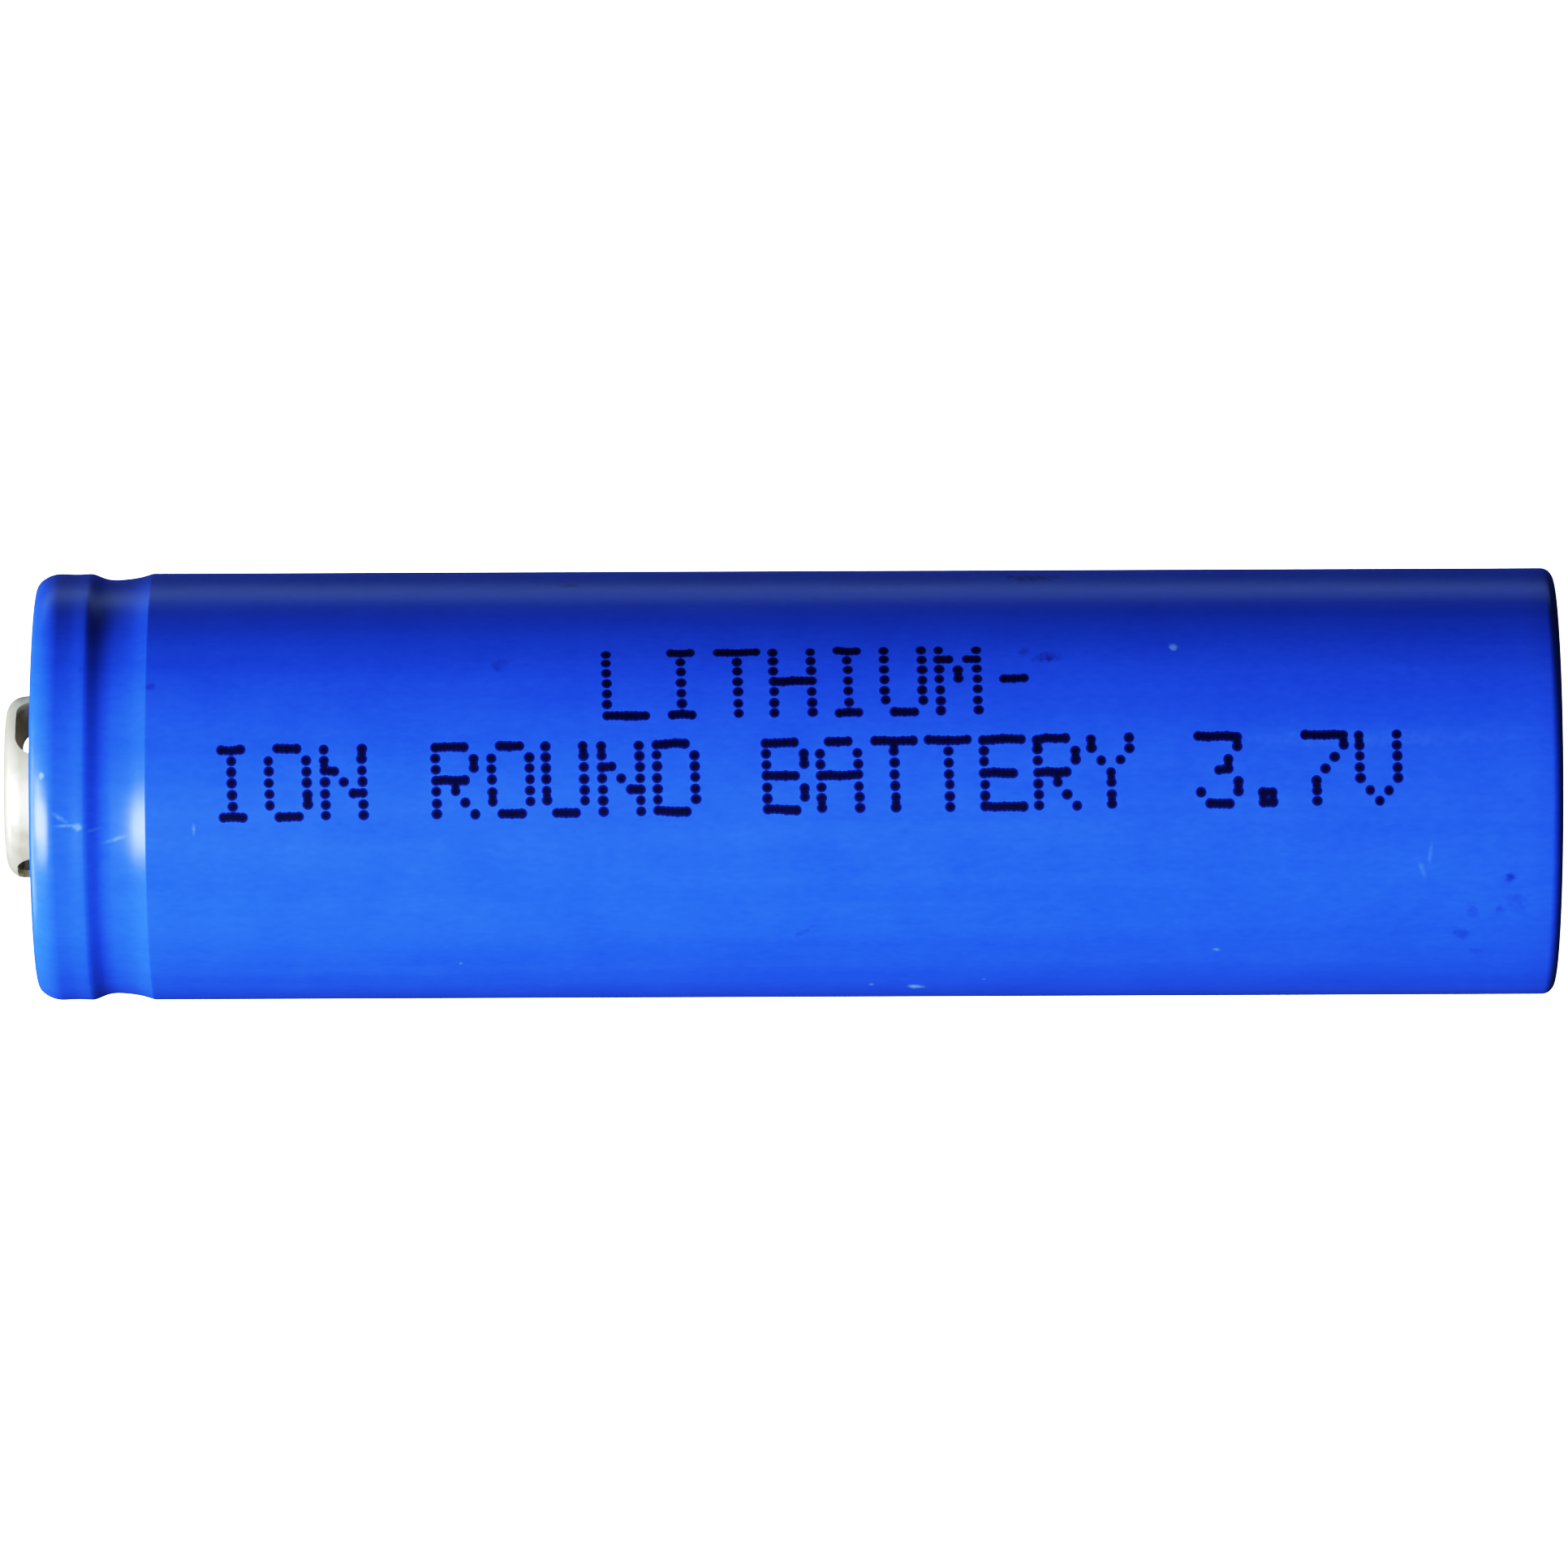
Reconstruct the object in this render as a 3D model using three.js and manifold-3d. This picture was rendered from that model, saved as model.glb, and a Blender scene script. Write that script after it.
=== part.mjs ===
// A rechargeable cylindrical lithium-ion cell with a button top: a blue shrink sleeve over a beaded and
// crimped steel can, a vented cap with its safety stack, and a wound pack of electrodes.
// Millimetres, +Z up. The cell stands on its negative end: the origin is the centre of that end, and
// +Z runs along the axis to the positive button.
import * as THREE from "three";
import { mergeVertices } from "three/addons/utils/BufferGeometryUtils.js";
import Module from "manifold-3d";

const wasm = await Module();
wasm.setup();

// ---- Driving dimensions ----

const CELL_RADIUS = 9.15; // outside of the sleeve: 18.3 mm across
const SHOULDER_Z = 65.0; // top of the sleeve, where it folds over the crimp
const BUTTON_ABOVE_SHOULDER = 1.35; // overall length 66.35 mm
const CLEARANCE = 0.02; // between faces that touch on the real cell

const SLEEVE_WALL = 0.1;
const WASHER_THICKNESS = 0.2;
const CAN_WALL = 0.25;
const CAN_FLOOR = 0.3;
const LIP_THICKNESS = 0.28;
const GASKET_WALL = 0.38;

// The bead is the groove rolled into the can under the cap. The sleeve only sags into it.
const BEAD_Z = 61.05;
const BEAD_HALF_WIDTH = 1.4;
const BEAD_DEPTH = 1.0;
const SLEEVE_SAG = 0.27;

const BUTTON_RADIUS = 3.9;
const BUTTON_WINDOWS = 3;
const FIRST_WINDOW_ANGLE = -45; // degrees from +X
const WINDOW_WIDTH = 3.2;
const WINDOW_HEIGHT = 1.7;
const WINDOW_BELOW_TOP = 0.5; // from the button's top to a window's

const CORE_RADIUS = 2.45; // free bore of the winding
const ROLL_RADIUS = 8.25;
const ROLL_BOTTOM = 0.9;
const ROLL_TOP = 59.0;
const ROLL_TURNS = 7;
const FILM_THICKNESS = 0.08;
const FILM_GAP = 0.03;
const CATHODE_SHARE = 0.54; // of the space that the two electrodes have in one turn

const TAB_THICKNESS = 0.12;
const TAB_WIDTH = 3.0;
const TAPE_THICKNESS = 0.06;
const TAPE_GAP = 0.03; // between a tape and what it's stuck to
const INSULATOR_THICKNESS = 0.25;

// ---- Places worked out from them ----

const CAN_RADIUS = CELL_RADIUS - SLEEVE_WALL - CLEARANCE;
const CAN_BORE = CAN_RADIUS - CAN_WALL;
const CAN_BOTTOM = SLEEVE_WALL + CLEARANCE;
const CAN_INSIDE_BOTTOM = CAN_BOTTOM + CAN_FLOOR;
const WASHER_TOP = SHOULDER_Z - SLEEVE_WALL - CLEARANCE;
const WASHER_BOTTOM = WASHER_TOP - WASHER_THICKNESS;
const LIP_TOP = WASHER_BOTTOM - CLEARANCE;
const LIP_BOTTOM = LIP_TOP - LIP_THICKNESS;
const BUTTON_TOP = SHOULDER_Z + BUTTON_ABOVE_SHOULDER;

const GASKET_TOP = LIP_BOTTOM - 2 * CLEARANCE;
const GASKET_BOTTOM = BEAD_Z + BEAD_HALF_WIDTH + 2 * CLEARANCE;
const GASKET_RADIUS = CAN_BORE - 2 * CLEARANCE;
const SEAT_RADIUS = GASKET_RADIUS - GASKET_WALL - 2 * CLEARANCE; // of the discs that the gasket grips

const SEAT_BOTTOM = GASKET_BOTTOM + GASKET_WALL + CLEARANCE;
const VENT_THICKNESS = 0.3;
const PTC_BOTTOM = SEAT_BOTTOM + VENT_THICKNESS + CLEARANCE;
const PTC_THICKNESS = 0.32;
const FLANGE_BOTTOM = PTC_BOTTOM + PTC_THICKNESS + CLEARANCE;
const FLANGE_TOP = GASKET_TOP - GASKET_WALL - CLEARANCE;

const CAN_CORNER = 0.6; // bottom edge of the can
const CONTACT_RADIUS = 7.0; // flat land on the can's floor, clear of the sleeve's edge
const CONTACT_STEP = 0.03; // that it stands proud of the rim round it
const SHOULDER_RADIUS = 1.0; // sleeve's fold over the crimp
const SLEEVE_BOTTOM_EDGE = 7.4; // radius where the sleeve ends under the can
const SLEEVE_TOP_EDGE = 6.7; // radius where it ends over the washer

const ROUND_SEGMENTS = 36;
const HOLE_SEGMENTS = 10;
const SPIRAL_STEPS = 18; // per turn

// ---- Shape helpers ----

// Points of an arc about (r, z), from one angle to another in degrees, both ends included.
function arc(r, z, radius, from, to, steps) {
  return Array.from({ length: steps + 1 }, (_, i) => {
    const angle = THREE.MathUtils.degToRad(from + ((to - from) * i) / steps);
    return [r + radius * Math.cos(angle), z + radius * Math.sin(angle)];
  });
}

// A solid of revolution about Z. The profile holds [radius, height] points, anticlockwise with the
// radius to the right. It closes on itself unless it starts and ends on the axis.
function revolve(profile) {
  const onAxis = profile[0][0] === 0;
  const points = (onAxis ? profile : [...profile, profile[0]]).map(([r, z]) => new THREE.Vector2(r, z));
  return new THREE.LatheGeometry(points, ROUND_SEGMENTS).rotateX(Math.PI / 2);
}

// A flat ring between two radii.
function ring(inner, outer, bottom, top) {
  return revolve([
    [inner, bottom],
    [outer, bottom],
    [outer, top],
    [inner, top],
  ]);
}

function circle(radius, sides, x = 0, y = 0) {
  return Array.from({ length: sides }, (_, i) => {
    const angle = (2 * Math.PI * i) / sides;
    return new THREE.Vector2(x + radius * Math.cos(angle), y + radius * Math.sin(angle));
  });
}

// A flat shape with holes, extruded up from the height given.
function plate(outline, holes, bottom, thickness) {
  const shape = new THREE.Shape(outline);
  shape.holes = holes.map((points) => new THREE.Path(points));
  return new THREE.ExtrudeGeometry(shape, { depth: thickness, bevelEnabled: false }).translate(0, 0, bottom);
}

// A band about Z between two radii and two angles in degrees.
function bandOutline(inner, outer, from, to, steps) {
  const outside = arc(0, 0, outer, from, to, steps);
  const inside = arc(0, 0, inner, to, from, steps);
  return [...outside, ...inside].map(([x, y]) => new THREE.Vector2(x, y));
}

// A flat strip bent along a line in the XZ plane, centred on it and on Y = 0.
function bentStrip(line, thickness, width) {
  const middle = line.getPoints(3);
  const side = (sign) =>
    middle.map((point, i) => {
      const before = middle[Math.max(i - 1, 0)];
      const after = middle[Math.min(i + 1, middle.length - 1)];
      const along = after.clone().sub(before).normalize();
      return new THREE.Vector2(-along.y, along.x).multiplyScalar((sign * thickness) / 2).add(point);
    });
  const outline = new THREE.Shape([...side(-1), ...side(1).reverse()]);
  return new THREE.ExtrudeGeometry(outline, { depth: width, bevelEnabled: false })
    .rotateX(Math.PI / 2)
    .translate(0, width / 2, 0);
}

// A sheet wound about Z: a spiral band that grows by one pitch a turn.
const PITCH = (ROLL_RADIUS - CORE_RADIUS) / (ROLL_TURNS + 1);

function woundSheet(depthInPitch, thickness, bottom, top) {
  const steps = ROLL_TURNS * SPIRAL_STEPS;
  const edge = (offset) =>
    Array.from({ length: steps + 1 }, (_, i) => {
      const turns = i / SPIRAL_STEPS;
      const radius = CORE_RADIUS + depthInPitch + offset + PITCH * turns;
      const angle = 2 * Math.PI * turns;
      return new THREE.Vector2(radius * Math.cos(angle), radius * Math.sin(angle));
    });
  return plate([...edge(thickness), ...edge(0).reverse()], [], bottom, top - bottom);
}

// ---- Booleans ----

function toSolid(geometry) {
  const bare = geometry.clone();
  bare.deleteAttribute("normal");
  bare.deleteAttribute("uv");
  const merged = mergeVertices(bare);
  const vertProperties = merged.attributes.position.array;
  return new wasm.Manifold(
    new wasm.Mesh({ numProp: 3, vertProperties, triVerts: new Uint32Array(merged.index.array) }),
  );
}

function toGeometry(solid) {
  const mesh = solid.getMesh();
  return new THREE.BufferGeometry()
    .setAttribute("position", new THREE.BufferAttribute(mesh.vertProperties, 3))
    .setIndex(new THREE.BufferAttribute(mesh.triVerts, 1));
}

// ---- Materials ----

function material(colour, roughness, metalness) {
  return new THREE.MeshStandardMaterial({ color: colour, roughness, metalness });
}

const BLUE_PVC = material(0x1f5fe6, 0.35, 0);
const FISH_PAPER = material(0xe9e6dc, 0.9, 0);
const NICKEL_PLATE = material(0xc9c6bd, 0.28, 1);
const ALUMINIUM = material(0xd6d8da, 0.35, 1);
const GASKET_PLASTIC = material(0xd9d6c8, 0.5, 0);
const PTC_COMPOSITE = material(0x2b2a28, 0.7, 0);
const INSULATOR_FILM = material(0xe4ead8, 0.45, 0);
const SEPARATOR_FILM = material(0xf4f4f1, 0.55, 0);
const CATHODE_COAT = material(0x2e3033, 0.8, 0);
const ANODE_COAT = material(0x1c1d1f, 0.85, 0);
const AMBER_TAPE = material(0xb8741a, 0.35, 0);
const GREEN_TAPE = material(0x2f8f5b, 0.35, 0);

// ---- Casing ----

// How deep the groove is at each height across the bead, as a share of its depth: a parabola.
const BEAD_STEPS = 6;
const BEAD_SHAPE = Array.from({ length: BEAD_STEPS + 1 }, (_, i) => {
  const across = -1 + (2 * i) / BEAD_STEPS;
  return { z: BEAD_Z + across * BEAD_HALF_WIDTH, share: 1 - across * across };
});

function bead(radius, depth) {
  return BEAD_SHAPE.map(({ z, share }) => [radius - depth * share, z]);
}

function sleeve() {
  const inside = CELL_RADIUS - SLEEVE_WALL;
  const corner = CAN_CORNER + SLEEVE_WALL;
  const cornerR = CELL_RADIUS - corner;
  const foldR = CELL_RADIUS - SHOULDER_RADIUS;
  const foldZ = SHOULDER_Z - SHOULDER_RADIUS;
  return revolve([
    [SLEEVE_BOTTOM_EDGE, 0],
    ...arc(cornerR, corner, corner, -90, 0, 3),
    ...bead(CELL_RADIUS, SLEEVE_SAG),
    ...arc(foldR, foldZ, SHOULDER_RADIUS, 0, 90, 4),
    [SLEEVE_TOP_EDGE, SHOULDER_Z],
    [SLEEVE_TOP_EDGE, SHOULDER_Z - SLEEVE_WALL],
    ...arc(foldR, foldZ, SHOULDER_RADIUS - SLEEVE_WALL, 90, 0, 4),
    ...bead(inside, SLEEVE_SAG).reverse(),
    ...arc(cornerR, corner, CAN_CORNER, 0, -90, 3),
    [SLEEVE_BOTTOM_EDGE, SLEEVE_WALL],
  ]);
}

// Fish-paper ring that keeps the sleeve's cut edge and the crimp apart.
function topWasher() {
  const inner = 4.7;
  const outer = 8.05;
  return ring(inner, outer, WASHER_BOTTOM, WASHER_TOP);
}

function can() {
  const lipFold = 0.86;
  const insideFold = lipFold - 0.18;
  const insideCorner = CAN_CORNER - 0.1;
  const lipEdge = 7.2;
  const rimZ = CAN_BOTTOM + CONTACT_STEP;
  return revolve([
    [0, CAN_BOTTOM],
    [CONTACT_RADIUS, CAN_BOTTOM],
    [CONTACT_RADIUS + 0.1, rimZ],
    ...arc(CAN_RADIUS - CAN_CORNER, rimZ + CAN_CORNER, CAN_CORNER, -90, 0, 3),
    ...bead(CAN_RADIUS, BEAD_DEPTH),
    ...arc(CAN_RADIUS - lipFold, LIP_TOP - lipFold, lipFold, 0, 90, 4),
    [lipEdge, LIP_TOP],
    [lipEdge, LIP_BOTTOM],
    ...arc(CAN_BORE - insideFold, LIP_BOTTOM - insideFold, insideFold, 90, 0, 3),
    ...bead(CAN_BORE, BEAD_DEPTH).reverse(),
    ...arc(CAN_BORE - insideCorner, CAN_INSIDE_BOTTOM + insideCorner, insideCorner, 0, -90, 3),
    [0, CAN_INSIDE_BOTTOM],
  ]);
}

// ---- Cap and safety stack, all gripped by the gasket inside the crimp ----

function crimpGasket() {
  const fold = 0.68;
  const innerWall = GASKET_RADIUS - GASKET_WALL;
  const lowerEdge = 6.9;
  const upperEdge = 6.85;
  return revolve([
    [lowerEdge, GASKET_BOTTOM],
    [GASKET_RADIUS, GASKET_BOTTOM],
    ...arc(GASKET_RADIUS - fold, GASKET_TOP - fold, fold, 0, 90, 3),
    [upperEdge, GASKET_TOP],
    [upperEdge, GASKET_TOP - GASKET_WALL],
    [innerWall, GASKET_TOP - GASKET_WALL],
    [innerWall, GASKET_BOTTOM + GASKET_WALL],
    [lowerEdge, GASKET_BOTTOM + GASKET_WALL],
  ]);
}

// One vent window's cutter: an arch that runs outwards along +X through the button's wall.
function windowCutter(angle) {
  const half = WINDOW_WIDTH / 2;
  const arch = 0.9; // radius of its rounded top
  const top = BUTTON_TOP - WINDOW_BELOW_TOP;
  const bottom = top - WINDOW_HEIGHT;
  const outline = [
    [-half, bottom],
    [half, bottom],
    ...arc(half - arch, top - arch, arch, 0, 90, 4),
    ...arc(arch - half, top - arch, arch, 90, 180, 4),
  ].map(([y, z]) => new THREE.Vector2(y, z));
  const reach = 3;
  return new THREE.ExtrudeGeometry(new THREE.Shape(outline), { depth: reach, bevelEnabled: false })
    .rotateX(Math.PI / 2)
    .rotateZ(Math.PI / 2)
    .translate(BUTTON_RADIUS - reach / 2, 0, 0)
    .rotateZ(THREE.MathUtils.degToRad(angle));
}

// Pressed steel cap: a flange under the crimp and a raised button with vent windows in its wall.
function topCap() {
  const wall = 0.3;
  const topCorner = 0.8;
  const footR = BUTTON_RADIUS + 0.15; // the riser widens a little towards the flange
  const fillet = 0.3;
  const body = revolve([
    [0, BUTTON_TOP - wall],
    ...arc(BUTTON_RADIUS - topCorner, BUTTON_TOP - topCorner, topCorner - wall, 90, 0, 3),
    [footR - wall, FLANGE_TOP + fillet],
    [footR, FLANGE_BOTTOM],
    [SEAT_RADIUS, FLANGE_BOTTOM],
    [SEAT_RADIUS, FLANGE_TOP],
    [footR + fillet, FLANGE_TOP],
    [footR, FLANGE_TOP + fillet],
    ...arc(BUTTON_RADIUS - topCorner, BUTTON_TOP - topCorner, topCorner, 0, 90, 4),
    [0, BUTTON_TOP],
  ]);
  let solid = toSolid(body);
  for (let i = 0; i < BUTTON_WINDOWS; i += 1) {
    const angle = FIRST_WINDOW_ANGLE + (360 * i) / BUTTON_WINDOWS;
    solid = solid.subtract(toSolid(windowCutter(angle)));
  }
  return toGeometry(solid);
}

// Ring of resistive polymer that chokes the current when it gets hot.
function ptcRing() {
  const inner = 5.2;
  return ring(inner, SEAT_RADIUS, PTC_BOTTOM, PTC_BOTTOM + PTC_THICKNESS);
}

// Scored aluminium dish. Its middle is welded to the plate below and snaps up when gas pressure rises.
const DISH_DROP = 0.56;
const NUB_DROP = 0.15;
const NUB_BOTTOM = SEAT_BOTTOM - DISH_DROP - NUB_DROP;

function ventDisc() {
  const top = SEAT_BOTTOM + VENT_THICKNESS;
  const dishBottom = SEAT_BOTTOM - DISH_DROP;
  const dishTop = top - DISH_DROP;
  const scoreR = 3.55;
  const scoreHalf = 0.2;
  const scoreDepth = 0.15;
  const nubR = 1.0;
  const nubSlope = 0.3;
  const dishR = 4.2;
  const dishSlope = 1.0;
  const slant = 0.2; // how far the slope's underside stands outside its top
  return revolve([
    [0, NUB_BOTTOM],
    [nubR, NUB_BOTTOM],
    [nubR + nubSlope, dishBottom],
    [dishR + slant, dishBottom],
    [dishR + dishSlope + slant, SEAT_BOTTOM],
    [SEAT_RADIUS, SEAT_BOTTOM],
    [SEAT_RADIUS, top],
    [dishR + dishSlope, top],
    [dishR, dishTop],
    [scoreR + scoreHalf, dishTop],
    [scoreR, dishTop - scoreDepth],
    [scoreR - scoreHalf, dishTop],
    [nubR + nubSlope, dishTop],
    [nubR, dishTop - NUB_DROP],
    [0, dishTop - NUB_DROP],
  ]);
}

// The perforated plate carries the current from the tab to the dish, until the dish tears off it.
const PLATE_RADIUS = 6.4;
const PLATE_THICKNESS = 0.35;
const PLATE_TOP = NUB_BOTTOM - CLEARANCE;
const PLATE_BOTTOM = PLATE_TOP - PLATE_THICKNESS;

function contactPlate() {
  const ventHoles = 6;
  const holeRadius = 0.65;
  const holeCircle = 4.0;
  const holes = circle(holeCircle, ventHoles).map(({ x, y }) => circle(holeRadius, HOLE_SEGMENTS, x, y));
  return plate(circle(PLATE_RADIUS, ROUND_SEGMENTS), holes, PLATE_BOTTOM, PLATE_THICKNESS);
}

// Plastic ring that clips round the plate's rim and keeps it off the dish's rim.
function plateRetainer() {
  const outer = 6.8;
  const lipEdge = 5.9;
  const seatEdge = 5.5;
  const slot = PLATE_RADIUS + 0.05;
  const lipThickness = 0.26;
  return revolve([
    [lipEdge, PLATE_BOTTOM - CLEARANCE - lipThickness],
    [outer, PLATE_BOTTOM - CLEARANCE - lipThickness],
    [outer, SEAT_BOTTOM - CLEARANCE],
    [seatEdge, SEAT_BOTTOM - CLEARANCE],
    [seatEdge, PLATE_TOP + CLEARANCE],
    [slot, PLATE_TOP + CLEARANCE],
    [slot, PLATE_BOTTOM - CLEARANCE],
    [lipEdge, PLATE_BOTTOM - CLEARANCE],
  ]);
}

// ---- Winding ----

const ELECTRODE_SPACE = PITCH - 2 * FILM_THICKNESS - 4 * FILM_GAP;
const CATHODE_THICKNESS = CATHODE_SHARE * ELECTRODE_SPACE;
const ANODE_THICKNESS = ELECTRODE_SPACE - CATHODE_THICKNESS;
const CATHODE_DEPTH = FILM_THICKNESS + FILM_GAP;
const OUTER_FILM_DEPTH = CATHODE_DEPTH + CATHODE_THICKNESS + FILM_GAP;
const ANODE_DEPTH = OUTER_FILM_DEPTH + FILM_THICKNESS + FILM_GAP;

// The films stand past the anode, and the anode past the cathode, at both ends.
function separator(depth) {
  return woundSheet(depth, FILM_THICKNESS, ROLL_BOTTOM, ROLL_TOP);
}

function cathodeSheet() {
  const inset = 0.9;
  return woundSheet(CATHODE_DEPTH, CATHODE_THICKNESS, ROLL_BOTTOM + inset, ROLL_TOP - inset);
}

function anodeSheet() {
  const inset = 0.45;
  return woundSheet(ANODE_DEPTH, ANODE_THICKNESS, ROLL_BOTTOM + inset, ROLL_TOP - inset);
}

// Slit steel tube that keeps the bore open for gas.
function centrePin() {
  const outer = 1.5;
  const inner = 1.25;
  const length = 56.5;
  const slitHalfAngle = 10;
  const outline = bandOutline(inner, outer, 180 + slitHalfAngle, 540 - slitHalfAngle, 18);
  return plate(outline, [], ROLL_BOTTOM, length);
}

// Tape round the outside of the winding, over the loose ends of the films.
function closingTape() {
  const inner = ROLL_RADIUS + TAPE_GAP;
  const bottom = 4;
  const length = 51;
  return plate(bandOutline(inner, inner + TAPE_THICKNESS, 60, 240, 18), [], bottom, length);
}

// ---- Tabs and end insulators ----

const TOP_INSULATOR_Z = ROLL_TOP + 0.05;
const TAB_RUN_Z = 60.2; // of the cathode tab, over the insulator
const ANODE_TAB_X = ROLL_RADIUS + 0.11; // its upright part, up the side of the winding
const ANODE_TAB_TOP = 45;
const WELD_END_X = -1.5; // where both tabs end, just past the axis

// Aluminium strip from the inner end of the cathode up to the contact plate, folded once.
function cathodeTab() {
  const boreX = 1.68;
  const bend = 0.9;
  const endZ = PLATE_BOTTOM - CLEARANCE - TAB_THICKNESS / 2;
  const foldRadius = (endZ - TAB_RUN_Z) / 2;
  const foldX = 4.2;
  const lowerEnd = ROLL_BOTTOM + 5;
  const line = new THREE.Path();
  line.moveTo(boreX, lowerEnd);
  line.lineTo(boreX, TAB_RUN_Z - bend);
  line.absarc(boreX + bend, TAB_RUN_Z - bend, bend, Math.PI, Math.PI / 2, true);
  line.lineTo(foldX, TAB_RUN_Z);
  line.absarc(foldX, TAB_RUN_Z + foldRadius, foldRadius, -Math.PI / 2, Math.PI / 2, false);
  line.lineTo(WELD_END_X, endZ);
  return bentStrip(line, TAB_THICKNESS, TAB_WIDTH);
}

// Tape wrapped round the cathode tab where it crosses the winding's top edge.
function cathodeTabTape() {
  const halfY = TAB_WIDTH / 2 + TAPE_GAP;
  const halfZ = TAB_THICKNESS / 2 + TAPE_GAP;
  const start = 2.7;
  const length = 1.4;
  const box = (y, z) => [
    new THREE.Vector2(-y, -z),
    new THREE.Vector2(y, -z),
    new THREE.Vector2(y, z),
    new THREE.Vector2(-y, z),
  ];
  return plate(box(halfY + TAPE_THICKNESS, halfZ + TAPE_THICKNESS), [box(halfY, halfZ)], 0, length)
    .rotateX(Math.PI / 2)
    .rotateZ(Math.PI / 2)
    .translate(start, 0, TAB_RUN_Z);
}

// Nickel strip from the outer end of the anode, down past the insulator to the middle of the can's floor.
function anodeTab() {
  const floorZ = CAN_INSIDE_BOTTOM + CLEARANCE + TAB_THICKNESS / 2;
  const bend = 0.59;
  const line = new THREE.Path();
  line.moveTo(WELD_END_X, floorZ);
  line.lineTo(ANODE_TAB_X - bend, floorZ);
  line.absarc(ANODE_TAB_X - bend, floorZ + bend, bend, -Math.PI / 2, 0, false);
  line.lineTo(ANODE_TAB_X, ANODE_TAB_TOP);
  return bentStrip(line, TAB_THICKNESS, TAB_WIDTH);
}

// Tape over the upper end of the anode tab, where it's welded to the sheet.
function anodeTabTape() {
  const above = 3;
  const below = 12;
  const overlap = 0.4; // each side of the tab
  const line = new THREE.Path();
  const x = ANODE_TAB_X + (TAB_THICKNESS + TAPE_THICKNESS) / 2 + TAPE_GAP;
  line.moveTo(x, ANODE_TAB_TOP - below);
  line.lineTo(x, ANODE_TAB_TOP + above);
  return bentStrip(line, TAPE_THICKNESS, TAB_WIDTH + 2 * overlap);
}

function topInsulator() {
  const radius = 8.4;
  const middleHole = 2.6;
  const gasHoles = 4;
  const gasCircle = 5.4;
  const gasRadius = 0.8;
  const holes = circle(gasCircle, gasHoles).map(({ x, y }) => circle(gasRadius, HOLE_SEGMENTS, x, y));
  holes.unshift(circle(middleHole, 18));
  return plate(circle(radius, ROUND_SEGMENTS), holes, TOP_INSULATOR_Z, INSULATOR_THICKNESS);
}

function bottomInsulator() {
  const radius = 8.0;
  const hole = 1.3;
  const bottom = CAN_INSIDE_BOTTOM + TAB_THICKNESS + 4 * CLEARANCE;
  return plate(circle(radius, ROUND_SEGMENTS), [circle(hole, 18)], bottom, INSULATOR_THICKNESS);
}

// ---- Assembly ----

const cell = new THREE.Group();

function add(name, geometry, look) {
  const mesh = new THREE.Mesh(geometry, look);
  mesh.name = name;
  cell.add(mesh);
}

add("sleeve", sleeve(), BLUE_PVC);
add("top_washer", topWasher(), FISH_PAPER);
add("can", can(), NICKEL_PLATE);

add("top_cap", topCap(), NICKEL_PLATE);
add("ptc_ring", ptcRing(), PTC_COMPOSITE);
add("vent_disc", ventDisc(), ALUMINIUM);
add("contact_plate", contactPlate(), ALUMINIUM);
add("plate_retainer", plateRetainer(), GASKET_PLASTIC);
add("crimp_gasket", crimpGasket(), GASKET_PLASTIC);

add("separator_inner", separator(0), SEPARATOR_FILM);
add("cathode_sheet", cathodeSheet(), CATHODE_COAT);
add("separator_outer", separator(OUTER_FILM_DEPTH), SEPARATOR_FILM);
add("anode_sheet", anodeSheet(), ANODE_COAT);
add("centre_pin", centrePin(), NICKEL_PLATE);
add("closing_tape", closingTape(), GREEN_TAPE);

add("cathode_tab", cathodeTab(), ALUMINIUM);
add("cathode_tab_tape", cathodeTabTape(), AMBER_TAPE);
add("top_insulator", topInsulator(), INSULATOR_FILM);
add("anode_tab", anodeTab(), NICKEL_PLATE);
add("anode_tab_tape", anodeTabTape(), AMBER_TAPE);
add("bottom_insulator", bottomInsulator(), INSULATOR_FILM);

export default cell;
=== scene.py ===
import math
import random

import bpy
from mathutils import Matrix, Vector


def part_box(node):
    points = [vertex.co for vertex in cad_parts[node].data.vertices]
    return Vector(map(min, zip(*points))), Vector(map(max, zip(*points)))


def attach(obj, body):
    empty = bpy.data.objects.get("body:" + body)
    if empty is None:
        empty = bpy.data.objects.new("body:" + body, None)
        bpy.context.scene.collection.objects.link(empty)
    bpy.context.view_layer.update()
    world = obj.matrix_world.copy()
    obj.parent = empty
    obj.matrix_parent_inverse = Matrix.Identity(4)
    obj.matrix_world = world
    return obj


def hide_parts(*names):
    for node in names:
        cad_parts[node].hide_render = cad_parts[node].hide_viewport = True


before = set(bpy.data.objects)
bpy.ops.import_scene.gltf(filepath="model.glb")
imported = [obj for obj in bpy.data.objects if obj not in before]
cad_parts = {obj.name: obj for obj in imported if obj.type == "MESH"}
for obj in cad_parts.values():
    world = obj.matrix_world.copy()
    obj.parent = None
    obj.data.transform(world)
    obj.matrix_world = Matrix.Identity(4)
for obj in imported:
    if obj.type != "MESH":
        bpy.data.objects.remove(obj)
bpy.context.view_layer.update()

MM = 0.001

# ---- Dimensions in millimetres, the same as the CAD's ----

CELL_R = 9.15
SLEEVE_WALL = 0.1
SHOULDER_Z = 65.0
BUTTON_TOP = 66.35
BUTTON_R = 3.9
WINDOW_ANGLES = (-45, 75, 195)  # degrees about +Z, from +X
WINDOW_WIDTH = 3.2
WINDOW_BOTTOM = 64.15
WINDOW_TOP = 65.85
WINDOW_ARCH = 0.9  # radius of its rounded top

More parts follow.
